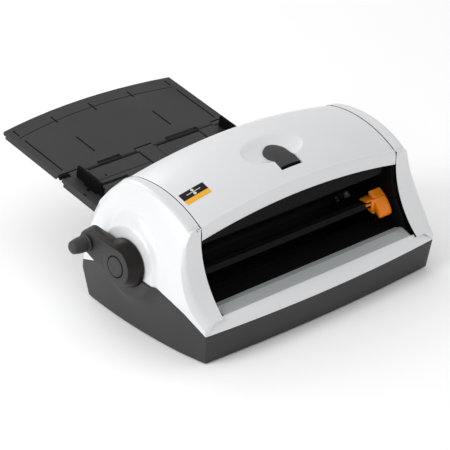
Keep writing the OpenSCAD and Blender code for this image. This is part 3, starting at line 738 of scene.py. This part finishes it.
columns = steps(-LID_HALF, -DENSE_X, 44) + steps(-DENSE_X, DENSE_X, 150)[1:]
columns += steps(DENSE_X, LID_HALF, 44)[1:]
lip, roll = [], []
for t in steps(0, 1, 6):
    y = LIP_Y - LIP_SWELL * math.sin(math.pi * t)
    arches = [LIP_Z + LIP_ARCH * (1 - (x / LID_HALF) ** 2) for x in columns]
    lip.append([(x, y, lerp(arch, LIP_TOP + crown(x), t)) for x, arch in zip(columns, arches)])
for t in steps(0, 1, 5)[1:-1]:
    y = curve(LIP_Y, LIP_Y + 0.1, ROLL_END, t)
    z = curve(LIP_TOP, BROW_Z + 0.4, lid_z(LID_HALF, ROLL_END), t)
    roll.append([(x, y, z + crown(x)) for x in columns])
top = [[lid_point(x, y) for x in columns] for y in lid_stations()]
lid = skin("lid", [(lip + roll + top, 0)], (0, 25, 60), [silver, black])
cut_slot(lid)
thicken(lid, WALL, RIM)
# The lid's seam walls get the same painted black shade.
paint_seam_shade(lid)
settle(lid, "lid", "silver_plastic", "lid_shell")

# %% [markdown]
# ## Base
# The dark base is a tub: two barrel walls that lean outwards, a bowed front, a rear wall and a floor. Its
# upper edge follows the split line, and the boss behind the crank runs down into it over a wide fillet.

# %% Base
BASE_ROWS, BASE_COLUMNS, END_COLUMNS = 26, 90, 48
FOOT_Z, FOOT_FRONT, FOOT_REAR, FOOT_BOW = 1.5, -81, 111, 6
BASE_FILLET, BASE_RIM = 13, 0.7


def base_wall(side):
    rows = []
    for v in steps(0, 1, BASE_ROWS):
        row = []
        for u in steps(0, 1, BASE_COLUMNS):
            top_y = lerp(FRONT_Y, along(REAR_WALL, REAR_SPLIT_Z), u)
            y = lerp(lerp(FOOT_FRONT, FOOT_REAR, u), top_y, v)
            z = lerp(FOOT_Z, along(SPLIT, top_y), v)
            x = right_x(y, z) if side > 0 else left_x(y, z, BASE_FILLET)
            row.append((side * x, y, z))
        rows.append(row)
    return rows


def end_panel(column, bow_low, bow_high):
    """A panel between the two walls' end columns, bowed outwards in plan."""
    left, right = base_wall(-1), base_wall(1)
    rows = []
    for i, v in enumerate(steps(0, 1, BASE_ROWS)):
        a, b = Vector(left[i][column]), Vector(right[i][column])
        bow = lerp(bow_low, bow_high, v)
        row = []
        for t in steps(-1, 1, END_COLUMNS):
            p = a.lerp(b, (t + 1) / 2)
            row.append((p.x, p.y - bow * (1 - t * t), p.z))
        rows.append(row)
    return rows


def base_floor():
    """The floor, stretched between the lowest rows of the four walls."""
    left, right = base_wall(-1)[0], base_wall(1)[0]
    front, rear = end_panel(0, FOOT_BOW, FRONT_BOW)[0], end_panel(-1, 0, 0)[0]
    rows = []
    for j, v in enumerate(steps(0, 1, BASE_COLUMNS)):
        row = []
        for k, u in enumerate(steps(0, 1, END_COLUMNS)):
            edge_y = (1 - v) * front[k][1] + v * rear[k][1]
            side_y = lerp(left[j][1], right[j][1], u)
            corner_y = lerp(left[0][1], left[-1][1], v)
            x = lerp(left[j][0], right[j][0], u)
            row.append((x, edge_y + side_y - corner_y, FOOT_Z))
        rows.append(row)
    return rows


base_panels = [base_wall(-1), base_wall(1), end_panel(0, FOOT_BOW, FRONT_BOW)]
base_panels += [end_panel(-1, 0, 0), base_floor()]
base = skin("base", [(panel, 0) for panel in base_panels], (0, 10, 30), [charcoal])
settle(base, "chassis", "charcoal_plastic", "base_pan", wall=WALL, rim=BASE_RIM)

# %% [markdown]
# ## Front bezel
# The silver strip under the opening is one bowed, gently rounded face. At both ends it is mitred against
# the side covers, so its upper edge drops along the mitre.

# %% Front bezel
BEZEL_BACK_Y, BEZEL_TOP_Z, BEZEL_HALF, BEZEL_SWELL, BEZEL_WALL = -80.4, 45.4, 161.6, 1.6, 1.8
bezel_rows = []
for t in steps(0, 1, 10):
    row = []
    for x in steps(-BEZEL_HALF, BEZEL_HALF, 96):
        low = Vector((FRONT_Y - FRONT_BOW * (1 - (x / CORNER_X) ** 2), FRONT_Z + SPLIT_GAP))
        fall = max(0, (abs(x) - MITRE_X) / (BEZEL_HALF - MITRE_X))
        high = Vector((lerp(BEZEL_BACK_Y, FRONT_Y - 0.4, fall), lerp(BEZEL_TOP_Z, FRONT_Z + 1.2, fall)))
        p = low.lerp(high, t)
        swell = BEZEL_SWELL * math.sin(math.pi * t) * (1 - fall)
        row.append((x, p.x - swell * 0.6, p.y + swell * 0.8))
    bezel_rows.append(row)
bezel = skin("bezel", [(bezel_rows, 0)], (0, -60, 20), [silver])
settle(bezel, "chassis", "silver_plastic", "front_bezel", wall=BEZEL_WALL, rim=RIM)

# %% [markdown]
# ## Turned pieces
# The crank's hub, its cap and the knob are round about an axis along X, so a profile of (distance, radius)
# points is spun round it. The arm is a tapered block between the hub and the knob's end.


# %% Turning helper
def turned(profile, axis, sides=72):
    """Rows of points spun from a profile of (x, radius) about an axis parallel to X."""
    rows = []
    for x, r in profile:
        rows.append([(x, axis.y + r * math.cos(a), axis.z + r * math.sin(a))
                     for a in [2 * math.pi * k / sides for k in range(sides + 1)]])
    return rows


def rounded(x0, r0, x1, r1, count=5):
    """Quarter-round profile points from (x0, r0) to (x1, r1), leaving along x first."""
    return [(lerp(x0, x1, math.sin(a)), lerp(r1, r0, math.cos(a))) for a in steps(0, math.pi / 2, count)]


POLE = 0.05
print("throw of the crank:", round((KNOB - HUB).length, 1), "mm")

# %% [markdown]
# ## Crank arm
# The arm is a plate round both axes. Its outline is repeated at several depths, a little smaller towards
# the face, so that the edge is rounded.

# %% Crank arm
HUB_IN, HUB_OUT, HUB_R, HUB_FACE_R = -172.6, -188.5, 26, 19.5
ARM_IN, ARM_END_R, ARM_INSET = -174.4, 12.6, 0.6
ARM_LEVELS = [(ARM_IN, 0.6, 0.6), (ARM_IN - 1, 0.9, 1.4), (-181, 0.4, 0.7), (HUB_OUT + 1.4, 0, 0),
              (HUB_OUT + 0.5, -0.4, -0.4), (HUB_OUT + 0.1, -1.2, -1.2)]


def arm_outline(hub_r, end_r, count=20):
    """Outline of the arm round both ends."""
    reach = Vector((KNOB.y - HUB.y, KNOB.z - HUB.z))
    lean = math.atan2(reach.y, reach.x)
    open_by = math.acos((hub_r - end_r) / reach.length)
    points = []
    for a in steps(lean + open_by, lean + 2 * math.pi - open_by, 2 * count):
        points.append((HUB.y + hub_r * math.cos(a), HUB.z + hub_r * math.sin(a)))
    for a in steps(lean - open_by, lean + open_by, count):
        points.append((KNOB.y + end_r * math.cos(a), KNOB.z + end_r * math.sin(a)))
    points.append(points[0])
    return points


def arm_rows():
    """The arm's outline at each depth, then drawn together to close its face."""
    rows = []
    for x, hub_more, end_more in ARM_LEVELS:
        outline = arm_outline(HUB_FACE_R - ARM_INSET + hub_more, ARM_END_R + end_more)
        rows.append([(x, y, z) for y, z in outline])
    face = rows[-1]
    middle_y, middle_z = HUB.y + 20, HUB.z + 6
    for size in (0.6, 0.3, 0.02):
        rows.append([(x, lerp(middle_y, y, size), lerp(middle_z, z, size)) for x, y, z in face])
    return rows


print("arm outline points:", len(arm_outline(HUB_FACE_R, ARM_END_R)))

# %% [markdown]
# ## Crank and hub cap
# The hub is a turned cone with a cap in the middle of its face.

# %% Crank and hub cap
CAP_R = 10.5
hub_profile = [(HUB_IN, 5.2), (HUB_IN, HUB_R - 1.2), (HUB_IN - 0.4, HUB_R - 0.3), (HUB_IN - 1.2, HUB_R)]
hub_profile += [(lerp(HUB_IN - 1.2, HUB_OUT + 1.4, t), lerp(HUB_R, HUB_FACE_R, t)
                 + 0.9 * math.sin(math.pi * t)) for t in steps(0, 1, 8)[1:]]
hub_profile += [(HUB_OUT + 0.5, HUB_FACE_R - 0.5), (HUB_OUT, HUB_FACE_R - 1.4), (HUB_OUT, CAP_R + 1.3),
                (HUB_OUT + 2, CAP_R + 1.2), (HUB_OUT + 2, POLE)]
# A thin black ring just proud of the face is painted shade for the groove round the cap.
groove_shade_ring = [(HUB_OUT - 0.1, CAP_R - 0.4), (HUB_OUT - 0.1, CAP_R + 1.4), (HUB_OUT + 0.2, CAP_R + 1.5)]
crank = skin("crank", [(turned(hub_profile, HUB), 0), (arm_rows(), 0), (turned(groove_shade_ring, HUB), 2)],
             (-180, HUB.y, HUB.z), [gloss_black, charcoal, black])
for polygon in crank.data.polygons:
    if polygon.normal.x < -0.85 and polygon.material_index == 0:
        polygon.material_index = 1
settle(crank, "crank", "black_plastic", "crank_arm")

cap_profile = [(HUB_OUT + 1.9, CAP_R), (HUB_OUT - 0.3, CAP_R), (HUB_OUT - 0.6, CAP_R - 0.4)]
cap_profile += [(HUB_OUT - 0.65, r) for r in (8, 5, POLE)]
cap = skin("hub_cap", [(turned(cap_profile, HUB), 0)], (-180, HUB.y, HUB.z), [charcoal])
settle(cap, "crank", "black_plastic", "crank_cap", rim=0.2)

# %% [markdown]
# ## Knob
# The knob is turned too. It narrows towards a rounded tip and rides on its own body, because it spins on
# its pin while the crank goes round.

# %% Knob
KNOB_BASE, KNOB_TIP, KNOB_R, KNOB_TIP_R = -190.4, -209.5, 9.4, 7.0
knob_profile = [(KNOB_BASE, 4), (KNOB_BASE, KNOB_R - 0.8), (KNOB_BASE - 0.5, KNOB_R)]
knob_profile += [(KNOB_BASE - 1.6, KNOB_R)]
knob_profile += [(lerp(KNOB_BASE - 2.2, KNOB_TIP + 3, t), lerp(KNOB_R - 0.9, KNOB_TIP_R, t)
                  + 0.5 * math.sin(math.pi * t)) for t in steps(0, 1, 8)]
knob_profile += rounded(KNOB_TIP + 3, KNOB_TIP_R, KNOB_TIP, 3.6)[1:] + [(KNOB_TIP, POLE)]
knob = skin("knob", [(turned(knob_profile, KNOB, 48), 0)], (-200, KNOB.y, KNOB.z), [charcoal])
settle(knob, "knob", "black_plastic", "crank_knob")

# %% [markdown]
# ## Button
# The release button is a tongue, round at the rear, that follows the dish and drops off square at its
# front. Its skirt reaches down into the slot, and it rides on its own body because it travels 3 mm.

# %% Button
BUTTON_HALF, BUTTON_FRONT, BUTTON_REAR = 14.2, -35.2, -1.6
BUTTON_CROWN, SKIRT, EDGE_DROP, TOP_SHARE, BUTTON_TUCK = 1.0, 6.5, 1.2, 0.91, 0.8
NOSE_Z = 148
BUTTON_TOP = [(-35.2, 152.9), (-27, 156.2), (-20, 158.4), (-12, 160.2), (-1.6, 161.6)]


def button_half(y):
    round_from = BUTTON_REAR - BUTTON_HALF
    return BUTTON_HALF * math.sqrt(max(0, 1 - (max(0, y - round_from) / BUTTON_HALF) ** 2))


def button_z(x, y):
    return along(BUTTON_TOP, y) + BUTTON_CROWN * (1 - (x / BUTTON_HALF) ** 2)


button_rows = []
for v in steps(0, 1, 44):
    y = BUTTON_FRONT + (BUTTON_REAR - BUTTON_FRONT) * math.sin(v * math.pi / 2)
    half = max(0.02, button_half(y))
    edge = [(SLOT_X - half, y, button_z(-half, y) - drop) for drop in (SKIRT, EDGE_DROP)]
    tuck = BUTTON_TUCK if v > 0.97 else 0
    inner = [(SLOT_X + half * TOP_SHARE * t, y - tuck, button_z(half * TOP_SHARE * t, y))
             for t in steps(-1, 1, 20)]
    button_rows.append(edge + inner + [(2 * SLOT_X - p[0], p[1], p[2]) for p in reversed(edge)])
nose = [(x, y - 0.2, min(z, NOSE_Z)) for x, y, z in button_rows[0]]
button = skin("button", [([nose] + button_rows, 0)], (0, -20, 140), [charcoal, black])
# Faces that look forward get the black slot as painted shade: the button's front sits in the shadow of its pocket.
for polygon in button.data.polygons:
    if polygon.normal.y < -0.8:
        polygon.material_index = 1
settle(button, "button", "charcoal_plastic", "latch_button", rim=0.5, angle=50)

# %% [markdown]
# ## Badge
# A small plate sits on the lid and follows its curve, so its points are read off the lid's own rule. It
# carries only a plain pictogram of a sheet between two rollers.

# %% Badge
BADGE_X, BADGE_Y = (-132.2, -100.8), (-27.4, -13.2)
LIFT, SIGN_LIFT, BAND_SHARE = 0.35, 0.41, 0.36
ROLLER_R, ROLLER_GAP, SHEET_HALF, SHEET_T = 1.7, 2.3, 9, 0.35


def on_lid(x, y, lift):
    return (x, y, lid_z(x, y) + lift)


def lid_sheet(x0, x1, y0, y1, lift, across=16, deep=10):
    return [[on_lid(x, y, lift) for x in steps(x0, x1, across)] for y in steps(y0, y1, deep)]


def lid_disc(x, y, r, lift, sides=24):
    rows = []
    for radius in (0.02, r):
        rows.append([on_lid(x + radius * math.cos(a), y + radius * math.sin(a), lift)
                     for a in [2 * math.pi * k / sides for k in range(sides + 1)]])
    return rows


band_y = lerp(*BADGE_Y, BAND_SHARE)
sign_x = (BADGE_X[0] + BADGE_X[1]) / 2
sign_y = (band_y + BADGE_Y[1]) / 2
badge_grids = [(lid_sheet(*BADGE_X, band_y, BADGE_Y[1], LIFT), 0)]
badge_grids.append((lid_sheet(*BADGE_X, BADGE_Y[0], band_y, LIFT), 1))
badge = skin("badge", badge_grids, (-116, -20, 100), [gloss_black, amber])
settle(badge, "lid", "badge", "badge_plate", wall=0.5, rim=0.1)
sign_grids = [(lid_disc(sign_x, sign_y + side * ROLLER_GAP, ROLLER_R, SIGN_LIFT), 0) for side in (-1, 1)]
sheet_box = (sign_x - SHEET_HALF, sign_x + SHEET_HALF, sign_y - SHEET_T, sign_y + SHEET_T)
sign_grids.append((lid_sheet(*sheet_box, SIGN_LIFT, 12, 1), 0))
sign = skin("badge_sign", sign_grids, (-116, -20, 100), [pale_print])
settle(sign, "lid", "badge", wall=0.05)

# %% [markdown]
# ## Cutter paddle
# The finger paddle is a thick tongue that curves forward towards its lower end. Its sections are rounded
# rectangles, which shrink at both ends, along a short list of stations: height, place and half depth.

# %% Cutter paddle
PADDLE_W, PADDLE_GAP = 19, 0.2
PADDLE_X = local(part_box("cutter_handle")[1]).x - PADDLE_W / 2
PADDLE = [(86.5, -37, 3.0), (83, -40.5, 3.8), (78, -45, 4.4), (73, -48.6, 4.6), (68, -51.5, 4.4),
          (64.5, -53.2, 3.6)]
PADDLE_TOP, PADDLE_END = PADDLE[0][0] + 1.6, PADDLE[-1][0] - 2.2
PADDLE_SIDES, WIDE_POWER, DEEP_POWER = 40, 0.45, 0.6


def paddle_section(y, z, half, size):
    """A rounded rectangle, flatter towards the paddle's ends."""
    row = []
    for a in steps(0, 2 * math.pi, PADDLE_SIDES):
        c, s = math.cos(a), math.sin(a)
        wide = math.copysign((PADDLE_W / 2 - PADDLE_GAP) * abs(c) ** WIDE_POWER, c)
        deep = math.copysign(half * abs(s) ** DEEP_POWER, s)
        row.append((PADDLE_X + wide * lerp(0.8, 1, size), y + deep * size, z))
    return row


def paddle_rows():
    places = [(-z, y) for z, y, _ in PADDLE]
    depths = [(-z, half) for z, _, half in PADDLE]
    rows = []
    for t in steps(0, 1, 24):
        z = lerp(PADDLE_TOP, PADDLE_END, t)
        end = min(1, 4 * t, 4 * (1 - t))
        size = math.sqrt(max(0.02, 1 - (1 - end) ** 2))
        rows.append(paddle_section(along(places, -z), z, along(depths, -z), size))
    tips = [[(PADDLE_X, row[0][1], row[0][2])] * len(row) for row in (rows[0], rows[-1])]
    return [tips[0]] + rows + [tips[1]]


paddle = skin("cutter_paddle", [(paddle_rows(), 0)], (PADDLE_X, -47, 76), [orange])
settle(paddle, "cutter", "orange_plastic")

# %% [markdown]
# ## Cutter carriage
# The paddle is joined to a slider that wraps round the rail, with a stack of small fins on its left. These
# are plain outlines drawn out sideways, so one helper makes them all and a bevel rounds their edges.

# %% Cutter carriage
CARRIAGE = [(-46.6, 70.4), (-46.6, 82.2), (-33.4, 82.2), (-33.4, 80.7), (-44.7, 80.7), (-44.7, 72.3),
            (-33.4, 72.3), (-33.4, 70.4)]
FIN_LINES, FIN_Y = [(76.4, 78.4), (81, 82.8)], (-46, -35)
LOWER_FIN = [(-46, 65.5), (-46, 70.6), (-38, 70.6), (-38, 68)]
CARRIAGE_X, FINS_X, LOWER_FIN_X = (-13.5, 7), (-20.5, -11.5), (-11, -3)


def prisms(name, spans, material):
    """Closed blocks, each an outline in y and z drawn out between two values of x."""
    mesh = bpy.data.meshes.new(name)
    points, faces = [], []
    for x0, x1, outline in spans:
        first, count = len(points), len(outline)
        points += [at(x0, y, z) for y, z in outline] + [at(x1, y, z) for y, z in outline]
        faces.append(tuple(range(first, first + count)))
        faces.append(tuple(reversed(range(first + count, first + 2 * count))))
        for k in range(count):
            after = (k + 1) % count
            faces.append((first + k, first + count + k, first + count + after, first + after))
    mesh.from_pydata(points, [], faces)
    shape = bmesh.new()
    shape.from_mesh(mesh)
    bmesh.ops.recalc_face_normals(shape, faces=shape.faces)
    shape.to_mesh(mesh)
    shape.free()
    mesh.materials.append(material)
    return new_piece(name, mesh)


blocks = [(CARRIAGE_X, CARRIAGE)]
for low, high in FIN_LINES:
    blocks.append((FINS_X, [(FIN_Y[0], low), (FIN_Y[0], high), (FIN_Y[1], high), (FIN_Y[1], low)]))
blocks.append((LOWER_FIN_X, LOWER_FIN))
spans = [(PADDLE_X + x0, PADDLE_X + x1, outline) for (x0, x1), outline in blocks]
carriage = prisms("cutter_carriage", spans, orange)
settle(carriage, "cutter", "orange_plastic", "cutter_handle", rim=0.5, angle=30, crease=30)

# %% [markdown]
# ## Cartridge aprons
# A real film cartridge hides its rollers behind two rounded walls that leave only a slit for the sheet.
# They are plain sheets bent round each roller, a few millimetres off it.

# %% Cartridge aprons
APRON_R, APRON_LEFT, APRON_RIGHT, APRON_WALL, AXES_APART = 16.6, -124, 131, 1.2, 26


def apron(name, axis_z, start, end):
    """A sheet bent round a roller between two angles above the level."""
    rows = []
    for a in steps(math.radians(start), math.radians(end), 18):
        rows.append([(x, HUB.y - APRON_R * math.cos(a), axis_z + APRON_R * math.sin(a))
                     for x in steps(APRON_LEFT, APRON_RIGHT, 4)])
    piece = skin(name, [(rows, 0)], (0, HUB.y, axis_z), [black])
    settle(piece, "chassis", "black_plastic", wall=APRON_WALL, rim=0.3)


apron("upper_apron", HUB.z, -33, 104)
apron("lower_apron", HUB.z - AXES_APART, -30, 33)

# %% [markdown]
# ## Softened CAD parts
# Flat moulded parts already have the right shape; they only lack the small radii that catch the light.
# A copy of the CAD mesh is welded, its flat faces are joined again, and a fine bevel rounds the edges.


# %% Softened copies
CAD_WELD, FLAT_WITHIN = 0.002, math.radians(0.6)


def softened(node, body, slot_name, material, width=0.4):
    shape = bmesh.new()
    shape.from_mesh(frame["nodes"][node].data)
    bmesh.ops.remove_doubles(shape, verts=shape.verts, dist=CAD_WELD * MM)
    bmesh.ops.dissolve_limit(shape, angle_limit=FLAT_WITHIN, verts=shape.verts, edges=shape.edges)
    mesh = bpy.data.meshes.new(node + "_soft")
    shape.to_mesh(mesh)
    shape.free()
    mesh.materials.append(material)
    for polygon in mesh.polygons:
        polygon.material_index = 0
    settle(new_piece(mesh.name, mesh), body, slot_name, node, rim=width, angle=30, crease=12)


softened("feed_table", "chassis", "charcoal_plastic", tray_grey)
softened("tray_extension", "tray", "charcoal_plastic", tray_grey, width=0.25)
softened("left_edge_guide", "guide_left", "black_plastic", black)
softened("right_edge_guide", "guide_right", "black_plastic", black)
# The shelf's darker silver is painted shade.
softened("exit_shelf", "chassis", "silver_plastic", shelf_silver_painted_shade)
softened("throat_floor", "chassis", "black_plastic", black)
softened("cutter_bed", "chassis", "black_plastic", black)
softened("cutter_rail", "chassis", "black_steel", dark_steel, width=0.3)
softened("rear_cover", "chassis", "silver_plastic", silver)

# %% [markdown]
# ## The feet's node tree
# Four rubber feet are one shape in four places, which is Geometry Nodes' job: a tapered disc is instanced
# on four points. The tree has the sizes as named inputs, makes the instances real and gives them their
# finish.

# %% The feet's node tree
FOOT_SIDES = 40


def feet_tree():
    tree = bpy.data.node_groups.new("rubber_feet", "GeometryNodeTree")
    tree.interface.new_socket("Geometry", in_out="INPUT", socket_type="NodeSocketGeometry")
    for label in ("Foot Radius", "Foot Height", "Taper"):
        tree.interface.new_socket(label, in_out="INPUT", socket_type="NodeSocketFloat")
    tree.interface.new_socket("Geometry", in_out="OUTPUT", socket_type="NodeSocketGeometry")
    given, result = tree.nodes.new("NodeGroupInput"), tree.nodes.new("NodeGroupOutput")
    disc = add_node(tree, "GeometryNodeMeshCone")
    disc.inputs["Vertices"].default_value = FOOT_SIDES
    narrow = add_node(tree, "ShaderNodeMath", operation="SUBTRACT")
    place = add_node(tree, "GeometryNodeInstanceOnPoints")
    real = add_node(tree, "GeometryNodeRealizeInstances")
    paint = add_node(tree, "GeometryNodeSetMaterial")
    paint.inputs["Material"].default_value = rubber
    links = [(given, "Foot Radius", disc, "Radius Top"),
             (given, "Foot Radius", narrow, 0),
             (given, "Taper", narrow, 1),
             (narrow, 0, disc, "Radius Bottom"),
             (given, "Foot Height", disc, "Depth"),
             (given, "Geometry", place, "Points"),
             (disc, "Mesh", place, "Instance"),
             (place, "Instances", real, "Geometry"),
             (real, "Geometry", paint, "Geometry"),
             (paint, "Geometry", result, "Geometry")]
    wire(tree, links)
    return tree


foot_nodes = feet_tree()
print("nodes in the feet's tree:", len(foot_nodes.nodes))

# %% [markdown]
# ## Feet
# The CAD feet's box gives the four centres. Each size goes into the modifier by its socket's own
# identifier before the first evaluation, and the result becomes a plain mesh.

# %% Feet
FOOT_R, FOOT_TAPER = 8, 0.9
feet_low, feet_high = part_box("base_feet")
centres = []
for x in (feet_low.x + FOOT_R * MM, feet_high.x - FOOT_R * MM):
    for y in (feet_low.y + FOOT_R * MM, feet_high.y - FOOT_R * MM):
        centres.append((x, y, 0))
feet_mesh = bpy.data.meshes.new("feet")
feet_mesh.from_pydata(centres, [], [])
feet = new_piece("feet", feet_mesh)
feet_modifier = feet.modifiers.new("feet", "NODES")
feet_modifier.node_group = foot_nodes
foot_sizes = {"Foot Radius": FOOT_R * MM, "Foot Height": feet_high.z, "Taper": FOOT_TAPER * MM}
for item in foot_nodes.interface.items_tree:
    if item.name in foot_sizes:
        feet_modifier[item.identifier] = foot_sizes[item.name]
bake_modifiers(feet)
settle(feet, "chassis", "rubber", "base_feet", rim=0.4, angle=50)

# %% [markdown]
# ## Tray lines
# The shade in the tray's guide grooves, its hinge line and the hinge's cut-outs is painted as black lines.
# Each is a thin strip laid along the tray's own slope, with its distances measured from the fold. Two short
# barrels close the hinge at its ends.

# %% Tray lines
TILT, FOLD_Y, FOLD_Z = math.radians(12.6), 191.5, 99.8
GROOVES = [(-108.5, 8, 73), (108.5, 8, 73), (-54.5, 20, 52), (54.5, 20, 52), (-108.5, 83, 94),
           (108.5, 83, 94), (-54.5, 84, 97), (54.5, 84, 97), (0, 84, 99)]
GROOVE_HALF, LINE_LIFT, LINE_T = 0.9, 0.06, 0.05
BARREL_R, PIN_DROP, BARRELS = 2.2, 2.6, [("left", -118.2, -106.4), ("right", 111.4, 118.2)]
CUT_OUTS = [(-84, -12, -6, -3.9), (12, 75, -6, -3.9), (-13.5, -11.7, -34, -4), (73, 74.8, -26, -4),
            (-118, -107, -6, -3.9), (97, 117, -6, -3.9)]


def on_tray(x, along_tray, lift):
    """A point at a distance from the fold and above the tray's face."""
    return (x, FOLD_Y + along_tray * math.cos(TILT) - lift * math.sin(TILT),
            FOLD_Z + along_tray * math.sin(TILT) + lift * math.cos(TILT))


def strip(x0, x1, s0, s1):
    return [[on_tray(x, s, LINE_LIFT) for x in (x0, x1)] for s in (s0, s1)]


# Black strips of painted shade for the grooves and hinge cut-outs.
grooves = [(strip(x - GROOVE_HALF, x + GROOVE_HALF, s0, s1), 0) for x, s0, s1 in GROOVES]
groove_shade_lines = skin("groove_shade_lines", grooves, (0, 240, 60), [black])
settle(groove_shade_lines, "tray", "black_plastic", wall=LINE_T)
cuts = [(strip(*cut), 0) for cut in CUT_OUTS]
hinge_shade_lines = skin("hinge_shade_lines", cuts, (0, 180, 60), [black])
settle(hinge_shade_lines, "chassis", "black_plastic", wall=LINE_T)
pin = Vector(on_tray(0, 0, -PIN_DROP))
for tag, x0, x1 in BARRELS:
    profile = [(x0, POLE), (x0, BARREL_R), (x1, BARREL_R), (x1, POLE)]
    barrel_inside = ((x0 + x1) / 2, pin.y, pin.z)
    barrel = skin("hinge_barrel_" + tag, [(turned(profile, pin, 28), 0)], barrel_inside, [black])
    settle(barrel, "tray", "black_plastic", rim=0.2)

# %% [markdown]
# ## Finishes on the CAD parts
# The rest of the CAD nodes keep their own exact shape and only receive a finish. A few pins and the latch
# hook are darker than the slot they belong to; on the tray's hinge pin, deep in the hinge's gap, that is painted
# shade.

# %% CAD finishes
CAD_FINISH = {
    "black_steel": dark_steel, "steel": bright_steel, "rubber": rubber, "roller_rubber": roller_rubber,
    "gear_plastic": gear_plastic, "film": wound_film, "core_card": card, "smoked": smoked,
    "orange_plastic": orange, "charcoal_plastic": charcoal, "black_plastic": black,
    "silver_plastic": silver, "badge": gloss_black,
}
# tray_hinge_pin is darkened as painted shade, for its place deep in the hinge's gap.
DARKER = {"tray_hinge_pin": darkened_steel, "tie_rods": darkened_steel, "latch_hook": black}
for part in frame["record"]["subparts"]:
    mesh = frame["nodes"][part["node"]].data
    mesh.materials.clear()
    mesh.materials.append(DARKER.get(part["node"], CAD_FINISH[part["material_slot"]]))
    for polygon in mesh.polygons:
        polygon.material_index = 0

# %% [markdown]
# ## Studio
# A white floor runs on into a white surround. One large soft light stands on the left, so that the crank's
# side is the brightest, and a weaker one behind lifts the top.

# %% Studio
FLOOR, SURROUND = 4.0, 0.78
floor_mesh = bpy.data.meshes.new("floor")
floor_corners = [(-FLOOR, -FLOOR, 0), (FLOOR, -FLOOR, 0), (FLOOR, FLOOR, 0), (-FLOOR, FLOOR, 0)]
floor_mesh.from_pydata(floor_corners, [], [(0, 1, 2, 3)])
floor = new_piece("floor", floor_mesh)
floor_mesh.materials.append(finish("floor_white", (0.985, 0.985, 0.985), 0.8, shift=0.0, bump=0.0))
floor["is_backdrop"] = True

world = bpy.data.worlds.new("surround")
bpy.context.scene.world = world
world.use_nodes = True
background = world.node_tree.nodes["Background"]
background.inputs["Color"].default_value = (1, 1, 1, 1)
background.inputs["Strength"].default_value = SURROUND
AIM = Vector((0, 0, 0.08))


def soft_light(name, place, size, power):
    data = bpy.data.lights.new(name, "AREA")
    data.shape = "DISK"
    data.size = size
    data.energy = power
    light = bpy.data.objects.new(name, data)
    light.location = place
    light.rotation_mode = "QUATERNION"
    light.rotation_quaternion = (AIM - Vector(place)).to_track_quat("-Z", "Y")
    bpy.context.scene.collection.objects.link(light)


soft_light("key", (-1.9, 0.15, 1.25), 1.1, 24)
soft_light("fill", (0.3, 1.6, 1.6), 1.2, 6)
bpy.context.scene.view_settings.view_transform = "Standard"
print("lights:", len(bpy.data.lights))

# %% Sizes and finish
seen_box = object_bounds()
for label, box in (("CAD box", cad_box), ("visual box", seen_box)):
    print(label, [[round(v, 4) for v in corner] for corner in box])
